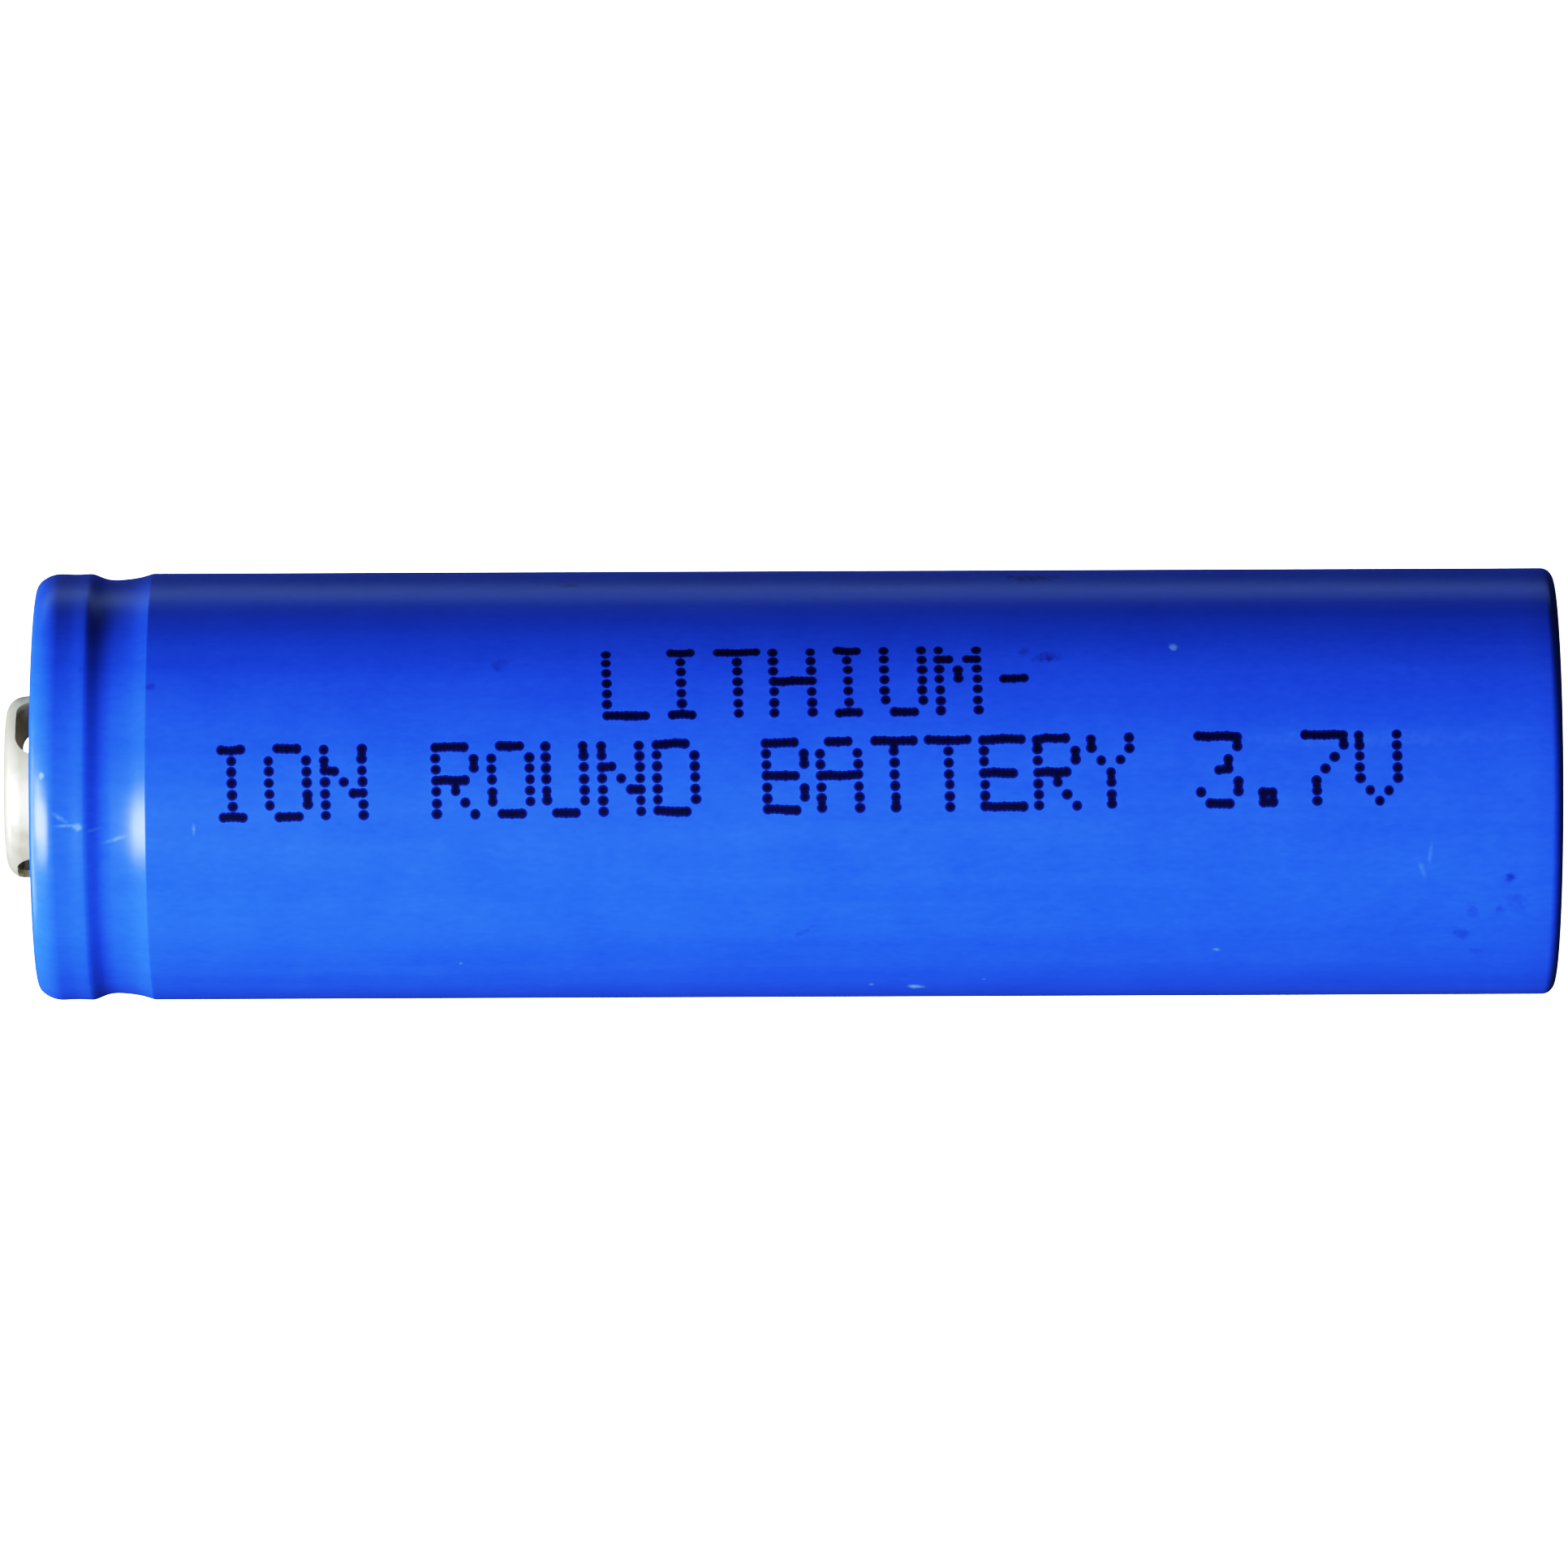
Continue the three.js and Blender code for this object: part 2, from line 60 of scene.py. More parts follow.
ROUND = 256  # segments round the outer pieces
CAP_ROUND = 192
INNER_ROUND = 128  # segments round the hidden ones
HOLE_ROUND = 40

# The winding: more and thinner turns than the CAD's, in the same space
ROLL_CORE_R = 2.45
ROLL_OUTER_R = 8.24
ROLL_TURNS = 17
SPIRAL_STEPS = 72
ROLL_LOW = 0.9
ROLL_HIGH = 59.0


# ---- Mesh helpers ----


def arc(r, z, radius, start, end, steps):
    """Points of an arc about (r, z), angles in degrees."""
    points = []
    for i in range(steps + 1):
        a = math.radians(start + (end - start) * i / steps)
        points.append((r + radius * math.cos(a), z + radius * math.sin(a)))
    return points


def smooth_line(points, steps):
    """A Catmull-Rom line through points, with that many steps between neighbours."""
    padded = [points[0], *points, points[-1]]
    line = []
    for k in range(1, len(padded) - 2):
        p0, p1, p2, p3 = (Vector(p) for p in padded[k - 1 : k + 3])
        for i in range(steps):
            t = i / steps
            a = 2 * p1
            b = (p2 - p0) * t
            c = (2 * p0 - 5 * p1 + 4 * p2 - p3) * t * t
            d = (3 * p1 - p0 - 3 * p2 + p3) * t * t * t
            line.append(tuple((a + b + c + d) / 2))
    line.append(tuple(points[-1]))
    return line


def finish_mesh(name, mesh, material, sharp=35):
    """The mesh as an object of the scene, smooth but for edges sharper than that many degrees."""
    mesh.validate()
    mesh.shade_smooth()
    mesh.set_sharp_from_angle(angle=math.radians(sharp))
    obj = bpy.data.objects.new(name, mesh)
    bpy.context.scene.collection.objects.link(obj)
    mesh.materials.clear()
    mesh.materials.append(material)
    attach(obj, "root")
    return obj


def turned_mesh(name, profile, segments, shape=None):
    """A closed solid of revolution. profile runs anticlockwise with the radius to the right, in mm, and
    closes on itself unless it starts and ends on the axis. shape moves a point: (r, z, angle) to (r, z)."""
    on_axis = profile[0][0] == 0
    verts, rings = [], []
    for r, z in profile:
        if r == 0:
            rings.append([len(verts)])
            verts.append((0, 0, z * MM))
            continue
        ring = []
        for j in range(segments):
            a = 2 * math.pi * j / segments
            rr, zz = shape(r, z, a) if shape else (r, z)
            ring.append(len(verts))
            verts.append((rr * MM * math.cos(a), rr * MM * math.sin(a), zz * MM))
        rings.append(ring)
    faces = []
    pairs = list(zip(rings, rings[1:]))
    if not on_axis:
        pairs.append((rings[-1], rings[0]))
    for low, high in pairs:
        for j in range(segments):
            n = (j + 1) % segments
            if len(low) == 1:
                faces.append((low[0], high[n], high[j]))
            elif len(high) == 1:
                faces.append((low[j], low[n], high[0]))
            else:
                faces.append((low[j], low[n], high[n], high[j]))
    mesh = bpy.data.meshes.new(name)
    mesh.from_pydata(verts, [], faces)
    return mesh


def cut(mesh, cutters):
    """mesh with each of the cutter meshes taken away."""
    target = bpy.data.objects.new("cut_target", mesh)
    bpy.context.scene.collection.objects.link(target)
    tools = []
    for cutter in cutters:
        tool = bpy.data.objects.new("cut_tool", cutter)
        bpy.context.scene.collection.objects.link(tool)
        tools.append(tool)
        step = target.modifiers.new("cut", "BOOLEAN")
        step.operation = "DIFFERENCE"
        step.solver = "EXACT"
        step.object = tool
    graph = bpy.context.evaluated_depsgraph_get()
    result = bpy.data.meshes.new_from_object(target.evaluated_get(graph))
    for obj in (target, *tools):
        bpy.data.objects.remove(obj)
    return result


def round_corners(profile, radius):
    """A closed profile with each corner cut back to two points and a middle one."""
    tiny = 1e-6
    most = 0.4  # share of a side that a corner may take
    out = []
    count = len(profile)
    for i in range(count):
        here = Vector(profile[i])
        before = Vector(profile[i - 1]) - here
        after = Vector(profile[(i + 1) % count]) - here
        if here.x < tiny or before.length < tiny or after.length < tiny:
            out.append(tuple(here))
            continue
        back = min(radius, before.length * most, after.length * most)
        a = here + before.normalized() * back
        b = here + after.normalized() * back
        middle = (a + b + here * 2) / 4
        out += [tuple(a), tuple(middle), tuple(b)]
    return out


# ---- Material helpers ----


class Nodes:
    """A short way to write a node tree."""

    def __init__(self, name):
        self.material = bpy.data.materials.new(name)
        self.material.use_nodes = True
        self.tree = self.material.node_tree
        self.bsdf = next(n for n in self.tree.nodes if n.type == "BSDF_PRINCIPLED")
        self.coords = self.tree.nodes.new("ShaderNodeTexCoord").outputs["Object"]

    def link(self, source, target):
        self.tree.links.new(source, target)

    def put(self, socket, value):
        if isinstance(value, bpy.types.NodeSocket):
            self.link(value, socket)
        else:
            socket.default_value = value

    def math(self, operation, a, b=0.0, c=0.0, clamp=False):
        node = self.tree.nodes.new("ShaderNodeMath")
        node.operation = operation
        node.use_clamp = clamp
        for socket, value in zip(node.inputs, (a, b, c)):
            self.put(socket, value)
        return node.outputs[0]

    def scaled(self, scale):
        node = self.tree.nodes.new("ShaderNodeMapping")
        self.link(self.coords, node.inputs["Vector"])
        node.inputs["Scale"].default_value = scale
        return node.outputs[0]

    def noise(self, vector, scale, detail=3.0, rough=0.5, distortion=0.0):
        node = self.tree.nodes.new("ShaderNodeTexNoise")
        self.link(vector, node.inputs["Vector"])
        node.inputs["Scale"].default_value = scale
        node.inputs["Detail"].default_value = detail
        node.inputs["Roughness"].default_value = rough
        node.inputs["Distortion"].default_value = distortion
        return node.outputs["Fac"]

    def cells(self, vector, scale):
        node = self.tree.nodes.new("ShaderNodeTexVoronoi")
        self.link(vector, node.inputs["Vector"])
        node.inputs["Scale"].default_value = scale
        return node.outputs["Distance"]

    def remap(self, value, low, high, out_low, out_high, smooth=False):
        node = self.tree.nodes.new("ShaderNodeMapRange")
        if smooth:
            node.interpolation_type = "SMOOTHSTEP"
        for socket, v in zip(node.inputs, (value, low, high, out_low, out_high)):
            self.put(socket, v)
        return node.outputs[0]

    def mix(self, factor, a, b):
        node = self.tree.nodes.new("ShaderNodeMix")
        node.data_type = "RGBA"
        self.put(node.inputs[0], factor)
        for socket, value in ((node.inputs[6], a), (node.inputs[7], b)):
            self.put(socket, (*value, 1.0) if isinstance(value, tuple) else value)
        return node.outputs[2]

    def bump(self, height, strength, distance):
        node = self.tree.nodes.new("ShaderNodeBump")
        node.inputs["Strength"].default_value = strength
        node.inputs["Distance"].default_value = distance
        self.link(height, node.inputs["Height"])
        self.link(node.outputs[0], self.bsdf.inputs["Normal"])

    def set(self, **values):
        for key, value in values.items():
            self.put(self.bsdf.inputs[key.replace("_", " ")], value)


def plain_surface(
    name, dark, light, roughness, grain, metal=0.0, stretch=(1, 1, 1), bump=0.2, depth=2e-5, **more
):
    """A surface whose colour and roughness vary a little with a grain, for small and hidden pieces."""
    n = Nodes(name)
    where = n.scaled(stretch)
    fine = n.noise(where, grain, 5.0, 0.6)
    broad = n.noise(where, grain / 9, 2.0)
    both = n.math("MULTIPLY_ADD", fine, 0.6, n.math("MULTIPLY", broad, 0.4))
    spread = n.remap(both, 0.35, 0.65, 0.0, 1.0)
    n.set(Base_Color=n.mix(spread, dark, light), Metallic=metal)
    n.set(Roughness=n.remap(fine, 0.3, 0.7, roughness * 0.8, min(1.0, roughness * 1.25)))
    n.bump(fine, bump, depth)
    n.set(**more)
    return n.material


# ---- The sleeve's material ----

# Marks of use on the printed side: degrees round from the front (positive towards -X), height on the
# cell, half-length along the cell, half-length round it, tilt in degrees, strength. Lengths are in mm.
DARK_MARKS = (
    (-27.5, 59.88, 0.34, 0.20, 0, 0.75),
    (-32.6, 62.77, 0.20, 0.18, 0, 0.40),
    (-33.9, 45.07, 0.50, 0.36, 20, 0.45),
    (-35.7, 21.81, 0.80, 0.36, 12, 0.90),
    (-37.5, 22.80, 0.34, 0.22, 30, 0.60),
    (-68.6, 42.19, 0.65, 0.40, 0, 0.70),
    (-73.3, 22.40, 1.40, 0.70, 5, 0.95),
    (26.2, 2.27, 0.32, 0.26, 30, 0.90),
    (33.5, 1.97, 0.50, 0.70, 50, 0.32),
    (36.5, 2.62, 0.30, 0.40, 10, 0.36),
    (37.0, 3.81, 0.30, 0.55, 20, 0.34),
    (45.0, 4.21, 0.45, 0.50, 40, 0.42),
    (52.0, 3.61, 0.30, 0.40, 60, 0.32),
    (43.0, 32.15, 0.60, 0.18, 35, 0.45),
)
LIGHT_MARKS = (
    (-39.0, 16.44, 0.24, 0.25, 0, 1.0),
    (-11.6, 8.50, 8.00, 0.45, 0, 0.055),
    (19.5, 5.65, 0.12, 0.70, -6, 0.14),
    (24.5, 5.95, 0.16, 0.60, 18, 0.16),
    (51.0, 14.65, 0.24, 0.12, 0, 0.30),
    (71.5, 27.40, 0.50, 0.36, 0, 0.75),
    (69.5, 29.30, 0.16, 0.22, 0, 0.50),
    (66.0, 24.50, 0.12, 0.14, 0, 0.35),
    (56.0, 46.80, 0.10, 0.12, 0, 0.35),
    (11.5, 57.99, 0.10, 0.35, 0, 0.25),
    (10.4, 63.31, 0.85, 0.10, 2, 0.30),
    (10.8, 62.91, 0.30, 0.22, 0, 0.42),
    (8.0, 63.71, 0.55, 0.14, -32, 0.24),
    (11.6, 62.22, 0.45, 0.10, 12, 0.22),
    (14.5, 61.32, 0.70, 0.12, 20, 0.26),
    (-3.0, 64.41, 0.14, 0.20, 0, 0.45),
)


def mark_mask(n, round_mm, along_mm, rag, marks):
    """How strongly the marks show at each point, from 0 to 1."""
    total = None
    for degrees, height, half_along, half_round, tilt, strength in marks:
        a = math.radians(tilt)
        du = n.math("SUBTRACT", round_mm, math.radians(degrees) * CELL_R)
        dz = n.math("SUBTRACT", along_mm, height)
        p = n.math("MULTIPLY_ADD", dz, math.cos(a), n.math("MULTIPLY", du, math.sin(a)))
        q = n.math("MULTIPLY_ADD", dz, -math.sin(a), n.math("MULTIPLY", du, math.cos(a)))
        p = n.math("DIVIDE", p, half_along)
        q = n.math("DIVIDE", q, half_round)
        d = n.math("ADD", n.math("MULTIPLY", p, p), n.math("MULTIPLY", q, q))
        d = n.math("ADD", d, rag)
        one = n.remap(d, -0.9, 1.0, strength, 0.0, smooth=True)
        total = one if total is None else n.math("MAXIMUM", total, one)
    return total


PVC_DARK = (0.0230, 0.092, 0.66)
PVC_LIGHT = (0.0570, 0.160, 0.94)
DARK_MARK_COLOUR = (0.010, 0.018, 0.20)
LIGHT_MARK_COLOUR = (0.42, 0.62, 0.95)


def sleeve_material():
    """Glossy shrunk PVC: fine streaks along the cell, a mottle, a fine grain, and the marks of use."""
    n = Nodes("blue_shrink_pvc")
    split = n.tree.nodes.new("ShaderNodeSeparateXYZ")
    n.link(n.coords, split.inputs[0])
    x, y, z = split.outputs
    back_x = n.math("MULTIPLY", x, -1.0)
    back_y = n.math("MULTIPLY", y, -1.0)
    round_mm = n.math("MULTIPLY", n.math("ARCTAN2", back_x, back_y), CELL_R)
    along_mm = n.math("DIVIDE", z, MM)

    streaks = n.noise(n.scaled((1, 1, 0.03)), 1100.0, detail=1.0)
    bands = n.noise(n.scaled((1, 1, 0.05)), 240.0, detail=1.0)
    mottle = n.noise(n.coords, 330.0, detail=3.0, rough=0.55)
    peel = n.noise(n.coords, 1500.0, detail=1.0)
    grain = n.noise(n.scaled((1, 1, 0.35)), 5200.0, detail=2.0, rough=0.6)

    tone = n.math("MULTIPLY_ADD", streaks, 0.22, n.math("MULTIPLY", bands, 0.15))
    tone = n.math("MULTIPLY_ADD", mottle, 0.28, tone)
    tone = n.math("MULTIPLY_ADD", grain, 0.35, tone)
    tone = n.remap(tone, 0.10, 0.90, 0.0, 1.0)
    colour = n.mix(tone, PVC_DARK, PVC_LIGHT)

    rag = n.math("MULTIPLY_ADD", n.noise(n.coords, 3000.0, detail=3.0, rough=0.7), 3.0, -1.5)
    dark = mark_mask(n, round_mm, along_mm, rag, DARK_MARKS)
    light = mark_mask(n, round_mm, along_mm, n.math("MULTIPLY", rag, 0.7), LIGHT_MARKS)
    colour = n.mix(dark, colour, DARK_MARK_COLOUR)
    colour = n.mix(light, colour, LIGHT_MARK_COLOUR)
    n.set(Base_Color=colour, Specular_IOR_Level=0.44, IOR=1.53)

    rough = n.math("MULTIPLY_ADD", streaks, 0.5, n.math("MULTIPLY", mottle, 0.5))
    rough = n.remap(rough, 0.10, 0.90, 0.28, 0.36)
    rough = n.math("MULTIPLY_ADD", dark, 0.15, rough, clamp=True)
    n.set(Roughness=n.math("MULTIPLY_ADD", light, 0.2, rough, clamp=True))

    height = n.math("MULTIPLY_ADD", streaks, 0.5, n.math("MULTIPLY", peel, 0.5))
    height = n.math("MULTIPLY_ADD", light, 0.3, height)
    n.bump(height, 0.16, 1.2e-5)
    return n.material


def nickel_material(name, roughness, warm=0.0, metal=1.0):
    """Nickel-plated steel: a bright, slightly warm metal with handling scuffs."""
    n = Nodes(name)
    swirl = n.noise(n.coords, 900.0, detail=6.0, rough=0.65, distortion=0.4)
    fine = n.noise(n.coords, 5200.0, detail=3.0, rough=0.6)
    broad = n.noise(n.coords, 190.0, detail=3.0)
    patches = n.remap(broad, 0.35, 0.65, 0.0, 1.0)
    dull = (0.66 + warm, 0.62 + warm * 0.7, 0.53)
    bright = (0.82 + warm, 0.78 + warm * 0.7, 0.69)
    n.set(Base_Color=n.mix(patches, dull, bright), Metallic=metal)
    scuff = n.remap(n.cells(n.scaled((1, 1, 3)), 800.0), 0.0, 0.12, 1.0, 0.0)
    rough = n.remap(swirl, 0.35, 0.68, roughness * 0.75, roughness * 1.25)
    n.set(Roughness=n.math("MULTIPLY_ADD", scuff, 0.12, rough))
    n.bump(n.math("MULTIPLY_ADD", fine, 0.4, n.math("MULTIPLY", swirl, 0.6)), 0.16, 1.0e-5)
    return n.material


def ink_material():
    """Dark ink that thins to blue at the edge of each drop."""
    n = Nodes("navy_ink")
    patch = n.noise(n.coords, 1400.0, detail=4.0, rough=0.6)
    fine = n.noise(n.coords, 7000.0, detail=2.0)
    spread = n.math("MULTIPLY_ADD", patch, 0.6, n.math("MULTIPLY", fine, 0.4))
    spread = n.remap(spread, 0.35, 0.65, 0.0, 1.0)
    ink = n.mix(spread, (0.0008, 0.0018, 0.045), (0.0020, 0.0035, 0.080))
    soak = n.tree.nodes.new("ShaderNodeAttribute")
    soak.attribute_name = "soak"
    n.set(Base_Color=n.mix(soak.outputs["Fac"], (0.016, 0.052, 0.46), ink))
    n.set(Roughness=n.remap(fine, 0.3, 0.7, 0.45, 0.62), Specular_IOR_Level=0.15)
    n.bump(fine, 0.15, 1.0e-5)
    return n.material


# ---- Casing ----

SLEEVE_LOOK = sleeve_material()
NICKEL_LOOK = nickel_material("satin_nickel", roughness=0.42, metal=0.6)
CAN_LOOK = nickel_material("nickel_can", roughness=0.37, warm=0.01)
INK_LOOK = ink_material()
PAPER_LOOK = plain_surface(
    "fish_paper",
    (0.44, 0.425, 0.37),
    (0.62, 0.60, 0.54),
    0.85,
    grain=1500.0,
    stretch=(1, 3, 1),
    bump=0.5,
    depth=4e-5,
)

# Outside of the sleeve over the bead, from the body up to the crimp. It's stretched tight: it leaves the
# body at a clear edge, dips most just under the crimp, and climbs steeply over the crimp's own edge.
SLEEVE_BEAD = (
    (9.150, 59.80),
    (9.150, 60.02),
    (9.130, 60.10),
    (9.062, 60.32),
    (8.999, 60.55),
    (8.950, 60.80),
    (8.910, 61.10),
    (8.884, 61.40),
    (8.876, 61.62),
    (8.892, 61.85),
    (8.932, 62.05),
    (8.992, 62.22),
    (9.060, 62.38),
    (9.118, 62.53),
    (9.146, 62.65),
)
# The band over the crimp, up to the shoulder's corner: it's drawn in a hair above the crimp's edge.
CRIMP_BAND = (
    (9.150, 62.72),
    (9.144, 62.88),
    (9.130, 63.12),
    (9.126, 63.36),
    (9.136, 63.66),
    (9.148, 63.90),
)
FOOT_CORNER = 0.5  # radius of the sleeve's corner round the negative end
TOP_EDGE_R = 6.7  # cut edge of the fold over the washer
TOP_RING_R = 7.7  # a ring of points on that fold, for its waves
FOOT_EDGE_R = 7.4  # the same two under the can
FOOT_RING_R = 8.0
CAN_R = 9.03
CAN_WALL = 0.25
CAN_BEAD = (61.05, 1.4, 1.0)  # height, half-width, depth
PLEATS = 46  # small gathers that shrinking leaves at each folded edge
PLEAT_DEPTH = 0.005


def can_outside(z):
    """Radius of the can at a height near its bead."""
    middle, half, depth = CAN_BEAD
    across = min(1.0, abs(z - middle) / half)
    return CAN_R - depth * (1 - across * across) ** 1.15


def shoulder(inset):
    """The sleeve's corner over the crimp, that far in: a broad curve and then a tighter one."""
    broad, tight, meet = 1.30, 0.55, 40
    turn = math.radians(meet)
    centre_r = CELL_R - broad
    centre_z = SHOULDER_Z - tight - (broad - tight) * math.sin(turn)
    far_r = centre_r + (broad - tight) * math.cos(turn)
    lower = arc(centre_r, centre_z, broad - inset, 0, meet, 8)
    return lower + arc(far_r, SHOULDER_Z - tight, tight - inset, meet, 90, 8)[1:]


def sleeve_profile():
    """The sleeve's closed outline: up the outside from the negative end, and down the inside."""
    body_heights = (1.5, 3, 6, 12, 20, 30, 40, 50, 56)
    middle_r = (TOP_RING_R + TOP_EDGE_R) / 2
    under = SHOULDER_Z - SLEEVE_WALL
    inner_r = CELL_R - SLEEVE_WALL
    clear, least_wall = 0.012, 0.02  # over the can's bead, where the sleeve is stretched thin
    crimp_edge = 62.80
    corner_r = CELL_R - FOOT_CORNER

    outside = [(FOOT_EDGE_R, 0.0), (FOOT_RING_R, 0.0)]
    outside += arc(corner_r, FOOT_CORNER, FOOT_CORNER, -90, 0, 10)
    outside += [(CELL_R, z) for z in body_heights]
    outside += smooth_line(SLEEVE_BEAD, 4)
    outside += smooth_line(CRIMP_BAND, 4)
    outside += shoulder(0.0)
    outside += [(TOP_RING_R, SHOULDER_Z), (middle_r, SHOULDER_Z)]
    outside += [(TOP_EDGE_R + 0.06, SHOULDER_Z - 0.002), (TOP_EDGE_R + 0.005, SHOULDER_Z - 0.025)]
    inside = [(TOP_EDGE_R, under + 0.03), (TOP_EDGE_R + 0.02, under)]
    inside += [(middle_r, under), (TOP_RING_R, under)]
    inside += reversed(shoulder(SLEEVE_WALL))
    inside += [(inner_r, crimp_edge)]
    for r, z in reversed(smooth_line(SLEEVE_BEAD, 4)):
        inside.append((max(r - SLEEVE_WALL, min(r - least_wall, can_outside(z) + clear)), z))
    inside += [(inner_r, 30), (inner_r, 3)]
    inside += arc(corner_r, FOOT_CORNER, FOOT_CORNER - SLEEVE_WALL, 0, -90, 6)
    inside += [(FOOT_RING_R, SLEEVE_WALL), (FOOT_EDGE_R, SLEEVE_WALL)]
    return outside + inside


def sleeve_shape(r, z, a):
    """Shrinking leaves the sleeve uneven: waves along its folded edges, faint pleats over both corners."""
    top_fold_r, top_fold_width, top_edge_wave = 8.1, 1.4, 0.11
    foot_fold_r, foot_fold_width, foot_edge_wave = 8.4, 1.0, 0.13
    top_corner_z, top_corner_reach, foot_corner_reach = 63.9, 0.8, 0.45
    bead_low, bead_high, sag_change = 60.1, 62.6, 0.010
    wave = math.sin(3 * a + 0.7) * 0.5 + math.sin(7 * a + 2.1) * 0.3 + math.sin(16 * a + 0.4) * 0.2
    pleat = math.sin(PLEATS * a + 1.3 * math.sin(5 * a)) * (0.6 + 0.4 * math.sin(3 * a + 1.0))
    draw = PLEAT_DEPTH * (1 + pleat)
    if r < top_fold_r and z > SHOULDER_Z - 0.5:  # flat ring over the washer
        inward = min(1.0, (top_fold_r - r) / top_fold_width)
        return r + top_edge_wave * wave * inward, z - 1.2 * draw * inward
    if r < foot_fold_r and z < FOOT_CORNER:  # flat ring under the can
        inward = min(1.0, (foot_fold_r - r) / foot_fold_width)
        return r + foot_edge_wave * wave * inward, z + draw * inward
    if z > top_corner_z:
        return r - draw * min(1.0, (z - top_corner_z) / top_corner_reach), z
    if z < FOOT_CORNER:
        return r - draw * min(1.0, (FOOT_CORNER - z) / foot_corner_reach), z
    if bead_low < z < bead_high:  # the sag varies a little round the bead
        deep = math.sin(math.pi * (z - bead_low) / (bead_high - bead_low))
        return r + sag_change * deep * (wave + 0.4 * math.sin(11 * a)), z
    return r, z


def make_sleeve():
    mesh = turned_mesh("shrink_sleeve", sleeve_profile(), ROUND, sleeve_shape)
    obj = finish_mesh("shrink_sleeve", mesh, SLEEVE_LOOK, sharp=40)
    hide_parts("sleeve")


def make_washer():
    warp = 0.004

    def shape(r, z, a):
        return r, z - warp * (1 + math.sin(2 * a + 0.5))

    inner, outer, low, high, edge = 4.7, 8.05, 64.69, 64.88, 0.03
    profile = [
        (inner, low + edge),
        (inner + edge, low),
        (outer - edge, low),
        (outer, low + edge),
        (outer, high - edge),
        (outer - edge, high),
        (inner + edge, high),
        (inner, high - edge),
    ]
    mesh = turned_mesh("insulating_washer", profile, ROUND, shape)
    obj = finish_mesh("insulating_washer", mesh, PAPER_LOOK)
    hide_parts("top_washer")


def make_can():
    """The steel can: its floor, its wall with the bead, and the crimp's lip turned in over the cap."""
    middle, half, _depth = CAN_BEAD
    steps = 16
    outer, bore = CAN_R, CAN_R - CAN_WALL
    half_way = 30
    floor_low, floor_high = 0.12, 0.42
    rim_low = 0.15  # the floor's rim rests on the sleeve's fold, and its middle reaches a hair lower
    floor_corner, bore_corner = 0.6, 0.5
    crimp_corner, crimp_bore_corner = 0.86, 0.68
    lip_r, lip_low, lip_high, edge = 7.2, 64.38, 64.66, 0.04

    def bead(radius):
        heights = [middle + half * (-1 + 2 * i / steps) for i in range(steps + 1)]
        return [(can_outside(z) - CAN_R + radius, z) for z in heights]

    profile = [(0, floor_low), (3.5, floor_low), (6.95, floor_low)]
    profile += [(7.0, floor_low + 0.005), (7.1, rim_low)]
    profile += arc(outer - floor_corner, rim_low + floor_corner, floor_corner, -90, 0, 8)
    profile += [(outer, half_way)]
    profile += bead(outer)
    profile += arc(outer - crimp_corner, lip_high - crimp_corner, crimp_corner, 0, 90, 10)
    profile += [(lip_r + edge, lip_high), (lip_r, lip_high - edge)]
    profile += [(lip_r, lip_low + edge), (lip_r + edge, lip_low)]
    profile += arc(bore - crimp_bore_corner, lip_low - crimp_bore_corner, crimp_bore_corner, 90, 0, 8)
    profile += list(reversed(bead(bore)))
    profile += [(bore, half_way)]
    profile += arc(bore - bore_corner, floor_high + bore_corner, bore_corner, 0, -90, 6)
    profile += [(0, floor_high)]
    obj = finish_mesh("steel_can", turned_mesh("steel_can", profile, ROUND), CAN_LOOK)
    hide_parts("can")


def window_cutter(degrees):
    """A rounded window's prism that runs outwards through the button's wall."""
    half, rounding = WINDOW_WIDTH / 2, WINDOW_ARCH
    outline = [(-half, WINDOW_BOTTOM), (half, WINDOW_BOTTOM)]
    outline += arc(half - rounding, WINDOW_TOP - rounding, rounding, 0, 90, 14)
    outline += arc(rounding - half, WINDOW_TOP - rounding, rounding, 90, 180, 14)
    near, far = 2.4, 5.4  # how far from the axis it starts and ends
    turn = Matrix.Rotation(math.radians(degrees), 3, "Z")
    count = len(outline)
    verts = [turn @ Vector((reach * MM, y * MM, z * MM)) for reach in (near, far) for y, z in outline]
    faces = [tuple(reversed(range(count))), tuple(range(count, 2 * count))]
    faces += [(i, (i + 1) % count, count + (i + 1) % count, count + i) for i in range(count)]
    mesh = bpy.data.meshes.new("window_cutter")
    mesh.from_pydata(verts, [], faces)
    return mesh


